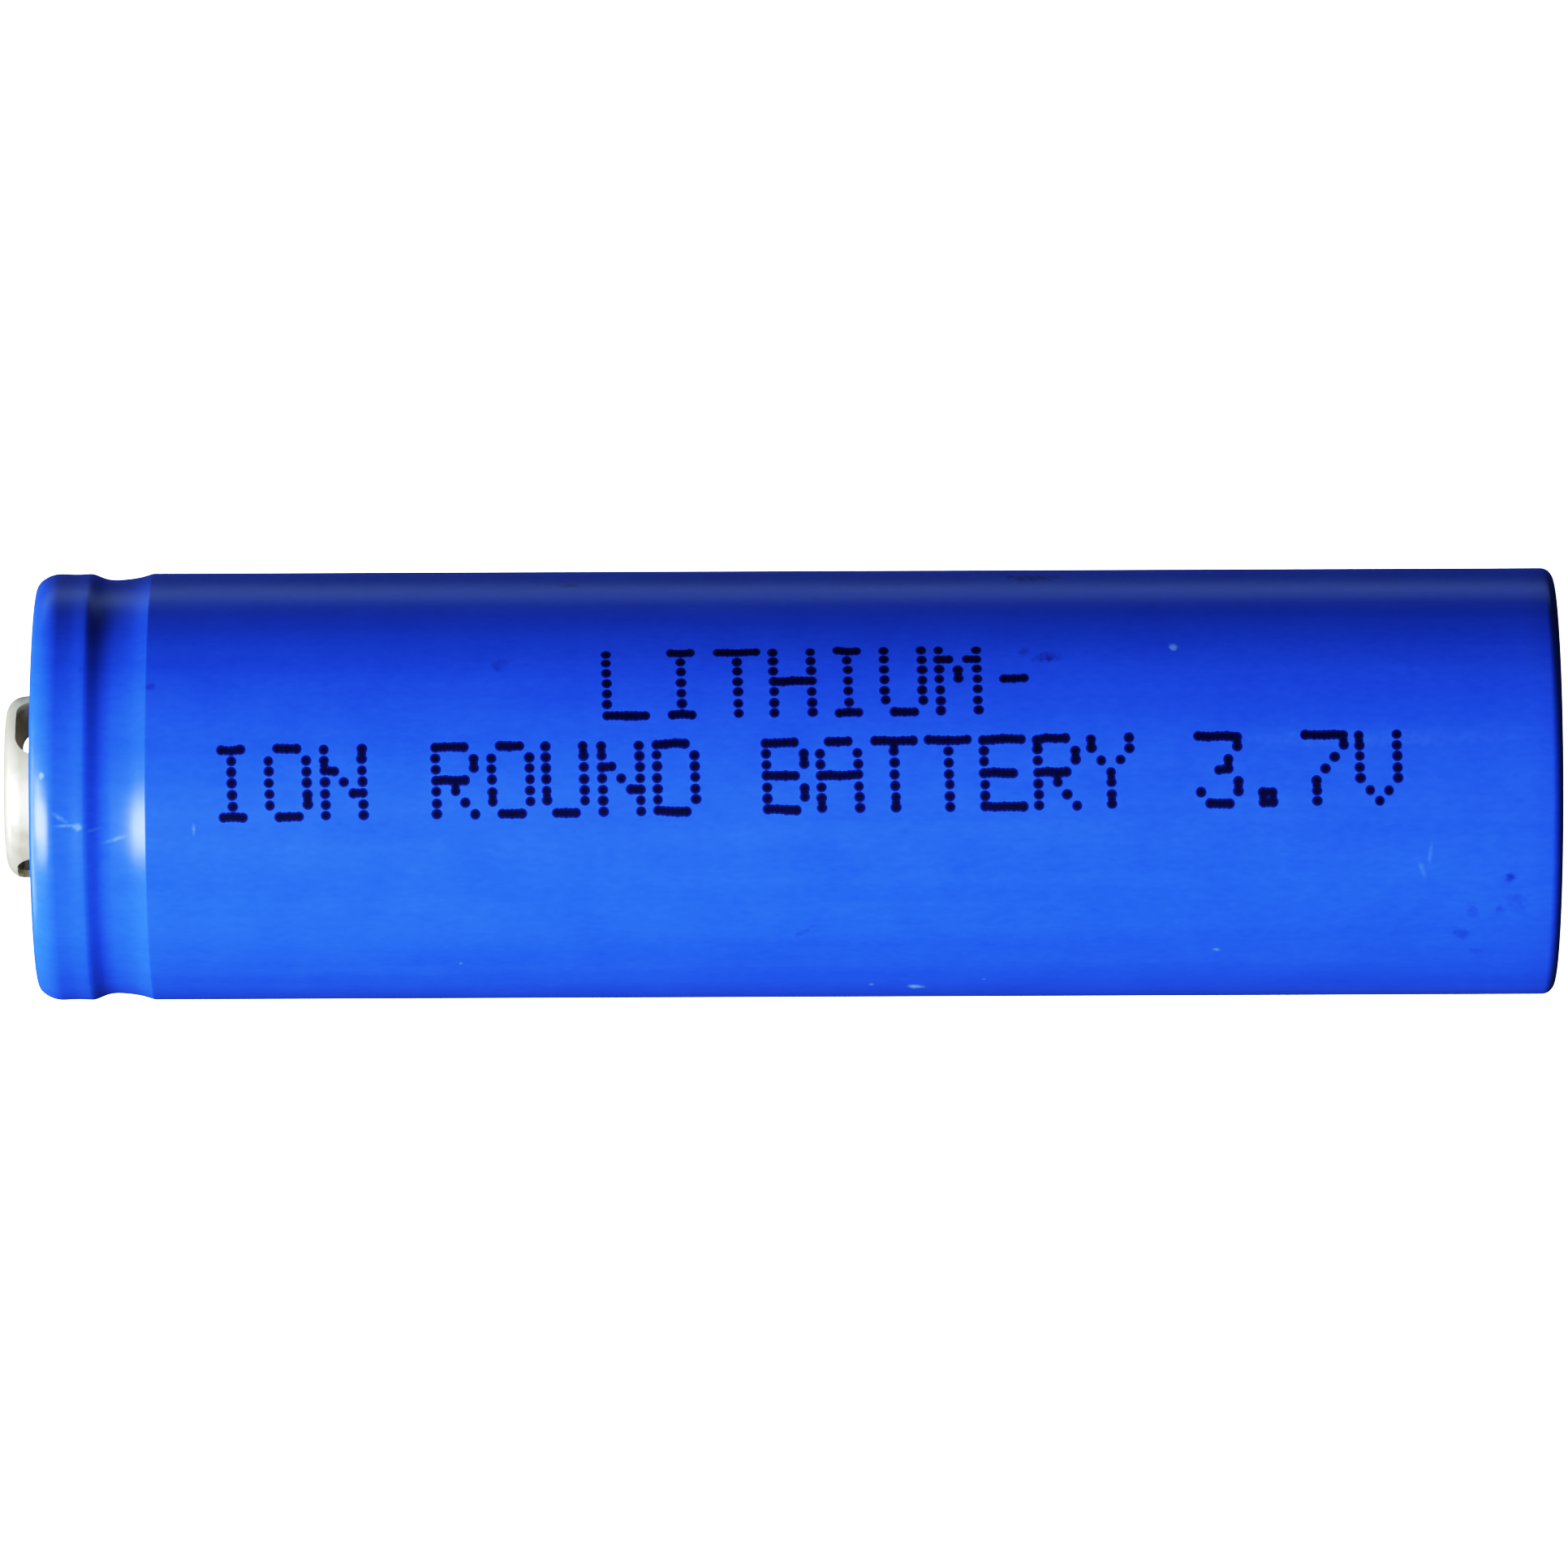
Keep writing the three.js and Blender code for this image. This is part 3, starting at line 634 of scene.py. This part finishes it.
def make_cap():
    """The pressed cap: a flange that the crimp holds, and a hollow button with its windows."""
    wall = 0.3
    low, high = 63.55, 63.94  # the flange
    flange_r, edge = 8.32, 0.04
    foot_r = BUTTON_R + 0.15
    corner, root = 0.8, 0.3  # radius of the button's top edge and of the bend at its foot
    inner_foot_r = foot_r - wall
    profile = [(0, BUTTON_TOP - wall), (1.5, BUTTON_TOP - wall)]
    profile += arc(BUTTON_R - corner, BUTTON_TOP - corner, corner - wall, 90, 0, 8)
    profile += [(inner_foot_r - 0.02, high + 0.4), (inner_foot_r + 0.06, high + 0.1)]
    profile += [(foot_r - 0.06, low + 0.06), (foot_r, low)]
    profile += [(flange_r - edge, low), (flange_r, low + edge)]
    profile += [(flange_r, high - edge), (flange_r - edge, high)]
    profile += arc(foot_r + root, high + root, root, -90, -180, 6)
    profile += arc(BUTTON_R - corner, BUTTON_TOP - corner, corner, 0, 90, 16)
    profile += [(2.2, BUTTON_TOP - 0.004), (1.1, BUTTON_TOP), (0, BUTTON_TOP)]
    mesh = cut(turned_mesh("vented_cap", profile, CAP_ROUND), [window_cutter(a) for a in WINDOW_ANGLES])
    obj = finish_mesh("vented_cap", mesh, NICKEL_LOOK, sharp=32)
    bevel = obj.modifiers.new("edge", "BEVEL")
    bevel.width = 0.03 * MM
    bevel.segments = 2
    bevel.limit_method = "ANGLE"
    bevel.angle_limit = math.radians(50)
    bevel.harden_normals = False
    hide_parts("top_cap")


# ---- The print: generic words in ink-jet dots ----

GLYPHS = {
    "A": (".###.", "#...#", "#...#", "#####", "#...#", "#...#", "#...#"),
    "B": ("####.", "#...#", "#...#", "####.", "#...#", "#...#", "####."),
    "D": ("####.", "#...#", "#...#", "#...#", "#...#", "#...#", "####."),
    "E": ("#####", "#....", "#....", "####.", "#....", "#....", "#####"),
    "H": ("#...#", "#...#", "#...#", "#####", "#...#", "#...#", "#...#"),
    "I": (".###.", "..#..", "..#..", "..#..", "..#..", "..#..", ".###."),
    "L": ("#....", "#....", "#....", "#....", "#....", "#....", "#####"),
    "M": ("#...#", "##.##", "#.#.#", "#.#.#", "#...#", "#...#", "#...#"),
    "N": ("#...#", "#...#", "##..#", "#.#.#", "#..##", "#...#", "#...#"),
    "O": (".###.", "#...#", "#...#", "#...#", "#...#", "#...#", ".###."),
    "R": ("####.", "#...#", "#...#", "####.", "#.#..", "#..#.", "#...#"),
    "T": ("#####", "..#..", "..#..", "..#..", "..#..", "..#..", "..#.."),
    "U": ("#...#", "#...#", "#...#", "#...#", "#...#", "#...#", ".###."),
    "V": ("#...#", "#...#", "#...#", "#...#", "#...#", ".#.#.", "..#.."),
    "Y": ("#...#", "#...#", ".#.#.", "..#..", "..#..", "..#..", "..#.."),
    "3": ("#####", "....#", "...#.", "..##.", "....#", "#...#", ".###."),
    "7": ("#####", "....#", "...#.", "..#..", ".#...", ".#...", ".#..."),
    ".": (".....", ".....", ".....", ".....", ".....", ".##..", ".##.."),
    "-": (".....", ".....", ".....", ".###.", ".....", ".....", "....."),
    " ": (".....",) * 7,
}
COLUMN_PITCH = 0.400
CHARACTER_PITCH = 2.371
PITCH_LOSS = 0.0029  # the characters crowd together as the line goes on: mm for each place squared
COLUMN_LEAN = 0.0145  # mm for each row
DOT_RADIUS = 0.243
DROP_PULL = 0.035  # how far a drop is drawn towards its neighbour in the column
RUN_JITTER = 0.008  # scatter of the drops along the line, and across it
FALL_JITTER = 0.014
CHARACTER_JITTER = 0.02
DROP_SIDES = 18
# A drop's rings from its edge to its crown: share of the radius, height over the sleeve in mm, and how
# much ink
DROP_RINGS = ((1.0, -0.004, 0.0), (0.90, 0.0024, 0.25), (0.70, 0.0048, 0.85), (0.44, 0.006, 1.0))
ROW_MERGE_GAP = 0.5  # drops in a row that land closer than this run together
COLUMN_MERGE_GAP = 0.43  # and drops in a column
PRINT_SLOPE = math.radians(-0.59)  # the line of print climbs a little towards the negative end
# Words, height of the first column on the cell, distance of the top row round the cell from the front
# line, and row pitch, in mm
PRINT_LINES = (
    ("LITHIUM-", 40.54, -5.96, 0.500),
    ("ION ROUND BATTERY 3.7V", 57.2, -1.53, 0.478),
)


def dot(verts, faces, along, around, radius, rng):
    """One domed drop of ink on the sleeve. around is its distance round the cell from the front line."""
    first = len(verts)
    squash = rng.uniform(0.97, 1.03)

    def place(u, z, lift):
        phi = u / CELL_R
        r = CELL_R + lift
        verts.append((-r * math.sin(phi) * MM, -r * math.cos(phi) * MM, z * MM))

    sides, rings = DROP_SIDES, DROP_RINGS
    for ring, lift, _soak in rings:
        wide, tall = radius * ring * squash, radius * ring / squash
        for k in range(sides):
            a = math.tau * k / sides
            place(around + wide * math.sin(a), along + tall * math.cos(a), lift)
    place(around, along, rings[-1][1])
    centre = len(verts) - 1
    for ring in range(len(rings) - 1):
        low, high = first + ring * sides, first + (ring + 1) * sides
        for k in range(sides):
            n = (k + 1) % sides
            faces.append((low + k, high + k, high + n, low + n))
    top = first + (len(rings) - 1) * sides
    for k in range(sides):
        faces.append((top + k, centre, top + (k + 1) % sides))


def letter_drops(letter, row_pitch, rng):
    """The drops of one letter: (run along the line, fall from its top row, radius)."""
    drops = {}
    for column in range(5):
        rows = [row for row in range(7) if GLYPHS[letter][row][column] == "#"]
        for row in rows:
            # neighbours in the same column of drops pull on each other in flight
            pull = DROP_PULL * ((row + 1 in rows) - (row - 1 in rows))
            run = column * COLUMN_PITCH + row * COLUMN_LEAN + rng.gauss(0, RUN_JITTER)
            fall = row * row_pitch + pull + rng.gauss(0, FALL_JITTER)
            drops[column, row] = (run, fall, DOT_RADIUS * rng.uniform(0.95, 1.05))
    # wet neighbours run together: a smaller drop between the two joins them
    merged = list(drops.values())
    for (column, row), (run, fall, radius) in drops.items():
        beside = (column + 1, row), ROW_MERGE_GAP, 0.96
        below = (column, row + 1), COLUMN_MERGE_GAP, 0.84
        for other, reach, share in (beside, below):
            if other not in drops:
                continue
            far_run, far_fall, far_radius = drops[other]
            if math.hypot(far_run - run, far_fall - fall) < reach:
                middle = (run + far_run) / 2, (fall + far_fall) / 2
                merged.append((*middle, share * min(radius, far_radius)))
    return merged


def make_print():
    rng = random.Random(7)
    for index, (words, start, top, row_pitch) in enumerate(PRINT_LINES, 1):
        verts, faces = [], []
        for place, letter in enumerate(words):
            left = CHARACTER_PITCH * place - PITCH_LOSS * place * place
            left += rng.uniform(-CHARACTER_JITTER, CHARACTER_JITTER)
            for run, fall, radius in letter_drops(letter, row_pitch, rng):
                drift = (left + run) * math.sin(PRINT_SLOPE)
                dot(verts, faces, start - left - run, top + fall + drift, radius, rng)
        mesh = bpy.data.meshes.new(f"ink_line_{index}")
        mesh.from_pydata(verts, [], faces)
        soak = mesh.attributes.new("soak", "FLOAT", "POINT")
        ring_count = len(DROP_RINGS)
        for k in range(len(verts)):
            within = k % (DROP_SIDES * ring_count + 1)
            ring = min(within // DROP_SIDES, ring_count - 1)
            soak.data[k].value = DROP_RINGS[ring][2]
        obj = finish_mesh(f"ink_line_{index}", mesh, INK_LOOK, sharp=80)


# ---- Hidden pieces ----

# Each takes a name, its darkest and lightest colours, and its roughness.
ALUMINIUM_LOOK = plain_surface(
    "soft_aluminium",
    (0.62, 0.63, 0.64),
    (0.80, 0.81, 0.82),
    0.34,
    grain=1800.0,
    metal=1.0,
    stretch=(1, 4, 1),
    bump=0.25,
)
NICKEL_STRIP_LOOK = plain_surface(
    "nickel_strip",
    (0.50, 0.48, 0.43),
    (0.66, 0.64, 0.58),
    0.26,
    grain=2200.0,
    metal=1.0,
    stretch=(3, 3, 0.3),
)
SEAL_LOOK = plain_surface(
    "seal_plastic",
    (0.66, 0.64, 0.54),
    (0.76, 0.74, 0.65),
    0.48,
    grain=900.0,
    bump=0.15,
    Subsurface_Weight=0.1,
)
PTC_LOOK = plain_surface(
    "ptc_composite", (0.018, 0.018, 0.018), (0.045, 0.044, 0.042), 0.7, grain=2600.0, bump=0.4
)
FILM_LOOK = plain_surface(
    "separator_film", (0.80, 0.80, 0.78), (0.90, 0.90, 0.88), 0.5, grain=500.0, stretch=(1, 1, 0.1)
)
CATHODE_LOOK = plain_surface(
    "cathode_coat", (0.022, 0.023, 0.026), (0.05, 0.052, 0.056), 0.75, grain=3000.0, bump=0.35
)
ANODE_LOOK = plain_surface(
    "anode_coat", (0.010, 0.010, 0.012), (0.028, 0.028, 0.031), 0.8, grain=3000.0, bump=0.4
)
BOARD_LOOK = plain_surface(
    "insulator_board",
    (0.66, 0.71, 0.56),
    (0.82, 0.86, 0.73),
    0.55,
    grain=1400.0,
    stretch=(1, 5, 1),
    bump=0.3,
)
GREEN_LOOK = plain_surface(
    "green_tape", (0.02, 0.22, 0.08), (0.04, 0.33, 0.13), 0.3, grain=700.0, bump=0.15
)
AMBER_LOOK = plain_surface(
    "amber_tape", (0.40, 0.14, 0.012), (0.58, 0.23, 0.03), 0.28, grain=700.0, bump=0.15
)


def meridian(node):
    """The closed outline, in mm, that a CAD solid of revolution was turned from: its edges over +X."""
    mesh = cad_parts[node].data
    near = 1e-7
    flat = {}
    for v in mesh.vertices:
        if abs(v.co.y) < near and v.co.x > -near:
            flat[v.index] = (round(v.co.x / MM, 3), round(v.co.z / MM, 3))
    joined = {}
    for e in mesh.edges:
        a, b = e.vertices
        if a in flat and b in flat and flat[a] != flat[b]:
            joined.setdefault(flat[a], set()).add(flat[b])
            joined.setdefault(flat[b], set()).add(flat[a])
    start = min(joined, key=lambda p: (p[1], p[0]))
    loop, seen = [start], {start}
    while True:
        last = loop[-1]
        onward = [p for p in joined[last] if p not in seen and not p[0] == last[0] == 0]
        if not onward:
            break
        loop.append(onward[0])
        seen.add(onward[0])
    area = sum(a[0] * b[1] - b[0] * a[1] for a, b in zip(loop, loop[1:] + loop[:1]))
    return loop if area > 0 else list(reversed(loop))


def start_on_axis(loop):
    """The loop turned so that a solid reaching the axis starts and ends on it."""
    on_axis = [i for i, p in enumerate(loop) if p[0] == 0]
    if len(on_axis) != 2:
        return loop
    first = on_axis[1] if on_axis[1] == on_axis[0] + 1 else on_axis[0]
    return loop[first:] + loop[:first]


def make_turned(node, name, material, rounding=0.05):
    """A CAD solid of revolution turned again, finer and with eased edges."""
    profile = start_on_axis(meridian(node))
    if profile[0][0] == 0:
        inner = round_corners(profile, rounding)
        profile = [profile[0], *[p for p in inner if p[0] > 0], profile[-1]]
    else:
        profile = round_corners(profile, rounding)
    obj = finish_mesh(name, turned_mesh(name, profile, INNER_ROUND), material, sharp=40)
    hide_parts(node)


def post(radius, x, y, low, high, sides):
    """A closed round post, as a hole's cutter."""
    mesh = turned_mesh("post", [(0, low), (radius, low), (radius, high), (0, high)], sides)
    mesh.transform(Matrix.Translation((x * MM, y * MM, 0)))
    return mesh


def make_disc(node, name, radius, holes, material, slot):
    """A thin disc with eased edges and round holes: (radius, x, y) each."""
    low, high = (corner.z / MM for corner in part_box(node))
    edge = 0.05
    profile = [
        (0, low),
        (radius - edge, low),
        (radius, low + edge),
        (radius, high - edge),
        (radius - edge, high),
        (0, high),
    ]
    past = 1  # how far a cutter runs past each face
    cutters = [post(r, x, y, low - past, high + past, HOLE_ROUND) for r, x, y in holes]
    mesh = cut(turned_mesh(name, profile, INNER_ROUND), cutters)
    obj = finish_mesh(name, mesh, material, sharp=30)
    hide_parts(node)


def hole_circle(radius, circle, count):
    """Holes evenly round a circle, the first over +X."""
    turns = [math.tau * k / count for k in range(count)]
    return [(radius, circle * math.cos(a), circle * math.sin(a)) for a in turns]


PITCH = (ROLL_OUTER_R - ROLL_CORE_R) / (ROLL_TURNS + 1)


def make_wound(node, name, depth, thickness, low, high, material):
    """A thin sheet wound as a spiral, depth into one pitch."""
    steps = ROLL_TURNS * SPIRAL_STEPS
    verts, faces = [], []
    for i in range(steps + 1):
        turns = i / SPIRAL_STEPS
        a = math.tau * turns
        r = ROLL_CORE_R + depth + PITCH * turns
        for radius, z in ((r, low), (r + thickness, low), (r + thickness, high), (r, high)):
            verts.append((radius * MM * math.cos(a), radius * MM * math.sin(a), z * MM))
    for i in range(steps):
        k, n = 4 * i, 4 * (i + 1)
        for j in range(4):
            m = (j + 1) % 4
            faces.append((k + j, n + j, n + m, k + m))
    faces.append((0, 1, 2, 3))
    last = 4 * steps
    faces.append((last + 3, last + 2, last + 1, last))
    mesh = bpy.data.meshes.new(name)
    mesh.from_pydata(verts, [], faces)
    obj = finish_mesh(name, mesh, material, sharp=40)
    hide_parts(node)


def make_winding():
    """The winding's four sheets, each a gap outside the last. The films reach past the electrodes."""
    film, gap = 0.02, 0.004
    room = PITCH - 2 * film - 4 * gap
    cathode = room * 0.54
    anode = room - cathode
    # node, name, thickness, how far it stops short of the films' ends, look, slot
    sheets = (
        ("separator_inner", "film_inner", film, 0.0, FILM_LOOK, "separator_film"),
        ("cathode_sheet", "cathode_winding", cathode, 0.9, CATHODE_LOOK, "cathode_coat"),
        ("separator_outer", "film_outer", film, 0.0, FILM_LOOK, "separator_film"),
        ("anode_sheet", "anode_winding", anode, 0.45, ANODE_LOOK, "anode_coat"),
    )
    depth = 0.0
    for node, name, thickness, inset, material, slot in sheets:
        low, high = ROLL_LOW + inset, ROLL_HIGH - inset
        make_wound(node, name, depth, thickness, low, high, material)
        depth += thickness + gap


def dress(node, material, bevel=0.0):
    """Give a CAD node whose shape is right as it is its material, and eased edges."""
    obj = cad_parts[node]
    obj.data.materials.clear()
    obj.data.materials.append(material)
    if bevel:
        step = obj.modifiers.new("edge", "BEVEL")
        step.width = bevel * MM
        step.segments = 2
        step.limit_method = "ANGLE"
        step.angle_limit = math.radians(40)


def make_hidden():
    make_turned("ptc_ring", "current_limiter", PTC_LOOK)
    make_turned("vent_disc", "burst_dish", ALUMINIUM_LOOK)
    make_turned("plate_retainer", "plate_clip_ring", SEAL_LOOK)
    make_turned("crimp_gasket", "crimp_seal", SEAL_LOOK, rounding=0.08)
    plate_r, top_disc_r, bottom_disc_r = 6.4, 8.4, 8.0
    plate_holes = hole_circle(radius=0.65, circle=4.0, count=6)
    top_holes = [(2.6, 0, 0), *hole_circle(radius=0.8, circle=5.4, count=4)]
    bottom_holes = [(1.3, 0, 0)]
    board = BOARD_LOOK, "insulator_board"
    make_disc("contact_plate", "weld_plate", plate_r, plate_holes, ALUMINIUM_LOOK, "soft_aluminium")
    make_disc("top_insulator", "upper_insulating_disc", top_disc_r, top_holes, *board)
    make_disc("bottom_insulator", "lower_insulating_disc", bottom_disc_r, bottom_holes, *board)
    make_winding()
    dress("centre_pin", NICKEL_STRIP_LOOK, bevel=0.02)
    dress("closing_tape", GREEN_LOOK)
    dress("cathode_tab", ALUMINIUM_LOOK, bevel=0.015)
    dress("cathode_tab_tape", AMBER_LOOK)
    dress("anode_tab", NICKEL_STRIP_LOOK, bevel=0.015)
    dress("anode_tab_tape", AMBER_LOOK)


# ---- Floor, lights, camera ----

# In metres
CAMERA_DISTANCE = 0.6
CAMERA_HEIGHT = 0.0330  # half-way up the cell, where the lights look too
FRAME_WIDTH = 0.06735  # what the frame spans at the cell's axis
AXIS_TILT = math.radians(0.23)


def make_floor():
    """A pale round of floor that fades out into the white behind it. Its sizes are in metres."""
    radius, rings, sides = 0.42, 12, 64
    below = 0.00003  # clear of the cell's foot
    mesh = bpy.data.meshes.new("floor")
    verts = [(0, 0, 0)]
    faces = []
    for i in range(1, rings + 1):
        for k in range(sides):
            a = math.tau * k / sides
            verts.append((radius * i / rings * math.cos(a), radius * i / rings * math.sin(a), 0))
    for k in range(sides):
        faces.append((0, 1 + k, 1 + (k + 1) % sides))
    for i in range(rings - 1):
        low, high = 1 + i * sides, 1 + (i + 1) * sides
        for k in range(sides):
            n = (k + 1) % sides
            faces.append((low + k, high + k, high + n, low + n))
    mesh.from_pydata(verts, [], faces)
    floor = bpy.data.objects.new("floor", mesh)
    floor.location = (0, 0, -below)
    bpy.context.scene.collection.objects.link(floor)
    n = Nodes("pale_floor")
    out = n.tree.nodes.new("ShaderNodeVectorMath")
    out.operation = "LENGTH"
    n.link(n.coords, out.inputs[0])
    grain = n.noise(n.coords, 90.0, detail=3.0)
    n.set(Base_Color=n.mix(grain, (0.86, 0.86, 0.86), (0.90, 0.90, 0.90)), Roughness=0.9)
    n.set(Emission_Color=(1, 1, 1, 1), Emission_Strength=1.35, Specular_IOR_Level=0.0)
    n.set(Alpha=n.remap(out.outputs["Value"], radius * 0.35, radius * 0.95, 1.0, 0.0, smooth=True))
    mesh.materials.append(n.material)
    floor.visible_diffuse = False
    floor.visible_glossy = False


def area_light(name, direction, distance, size, power, colour=(1, 1, 1), glossy=True):
    """A rectangular light that looks at the middle of the cell. direction points from the cell to it,
    distance and size are in metres, and power is in watts."""
    data = bpy.data.lights.new(name, "AREA")
    data.shape = "RECTANGLE"
    data.size, data.size_y = size
    data.energy = power
    data.color = colour
    light = bpy.data.objects.new(name, data)
    towards = Vector(direction).normalized()
    light.location = Vector((0, 0, CAMERA_HEIGHT)) + towards * distance
    light.rotation_euler = towards.to_track_quat("Z", "Y").to_euler()
    light.visible_glossy = glossy
    bpy.context.scene.collection.objects.link(light)


def make_lights():
    """Up in the picture is +X here, and left in it is +Z."""
    # close enough for its light to fall off along the cell
    area_light(
        "key",
        direction=(-0.275, -0.596, 0.765),
        distance=0.5,
        size=(0.20, 0.40),
        power=4.75,
        colour=(0.90, 0.985, 0.985),
    )
    area_light(
        "low", direction=(-0.42, -0.80, 0.10), distance=0.8, size=(0.5, 0.05), power=0.9, glossy=False
    )
    # the cool line along the cell's upper edge
    area_light(
        "rim",
        direction=(0.81, 0.59, 0.05),
        distance=0.9,
        size=(0.26, 0.9),
        power=0.80,
        colour=(0.64, 0.84, 1.0),
    )
    area_light(
        "back",
        direction=(0.50, 0.85, 0.30),
        distance=1.3,
        size=(0.9, 0.9),
        power=10.0,
        colour=(0.80, 0.95, 1.0),
        glossy=False,
    )
    # along the button's end
    area_light("top", direction=(-0.18, 0.12, 1.0), distance=1.1, size=(0.40, 0.95), power=6.0)


def make_world():
    """White where the camera sees it, and almost no light of its own."""
    white, ambient = 2.5, 0.05
    world = bpy.data.worlds.new("studio")
    bpy.context.scene.world = world
    world.use_nodes = True
    tree = world.node_tree
    tree.nodes.clear()
    out = tree.nodes.new("ShaderNodeOutputWorld")
    seen = tree.nodes.new("ShaderNodeBackground")
    seen.inputs["Color"].default_value = (1, 1, 1, 1)
    seen.inputs["Strength"].default_value = white
    around = tree.nodes.new("ShaderNodeBackground")
    around.inputs["Color"].default_value = (0.80, 0.88, 1.0, 1)
    around.inputs["Strength"].default_value = ambient
    path = tree.nodes.new("ShaderNodeLightPath")
    mix = tree.nodes.new("ShaderNodeMixShader")
    tree.links.new(path.outputs["Is Camera Ray"], mix.inputs[0])
    tree.links.new(around.outputs[0], mix.inputs[1])
    tree.links.new(seen.outputs[0], mix.inputs[2])
    tree.links.new(mix.outputs[0], out.inputs["Surface"])


# A camera's tone curve, deep in the shadows and slow to clip, as (scene light, shown light)
TONE_CURVE = (
    (0.03, 0.0105),
    (0.06, 0.0295),
    (0.10, 0.066),
    (0.17, 0.170),
    (0.275, 0.325),
    (0.45, 0.560),
    (0.62, 0.735),
    (0.83, 0.845),
    (1.05, 0.905),
)
TONE_WHITE = 1.6


def make_view():
    view = bpy.context.scene.view_settings
    view.view_transform = "Standard"
    view.look = "None"
    view.use_curve_mapping = True
    curves = view.curve_mapping
    curves.white_level = (TONE_WHITE,) * 3
    line = curves.curves[3]
    for light, shown in TONE_CURVE:
        line.points.new(light / TONE_WHITE, shown)
    curves.update()


def make_camera():
    """Square on to the printed side, rolled so that the cell lies along the frame, button to the left."""
    data = bpy.data.cameras.new("camera")
    data.sensor_width = 36.0
    data.lens = data.sensor_width * CAMERA_DISTANCE / FRAME_WIDTH
    data.clip_start = 0.01
    data.clip_end = 20.0
    camera = bpy.data.objects.new("camera", data)
    c, s = math.cos(AXIS_TILT), math.sin(AXIS_TILT)
    right = Vector((-s, 0, -c))
    up = Vector((c, 0, -s))
    back = Vector((0, -1, 0))
    turn = Matrix((right, up, back)).transposed()
    camera.matrix_world = Matrix.Translation((0, -CAMERA_DISTANCE, CAMERA_HEIGHT)) @ turn.to_4x4()
    bpy.context.scene.collection.objects.link(camera)
    bpy.context.scene.camera = camera


make_camera()
make_sleeve()
make_print()
make_washer()
make_can()
make_cap()
make_hidden()
make_floor()
make_lights()
make_world()
make_view()
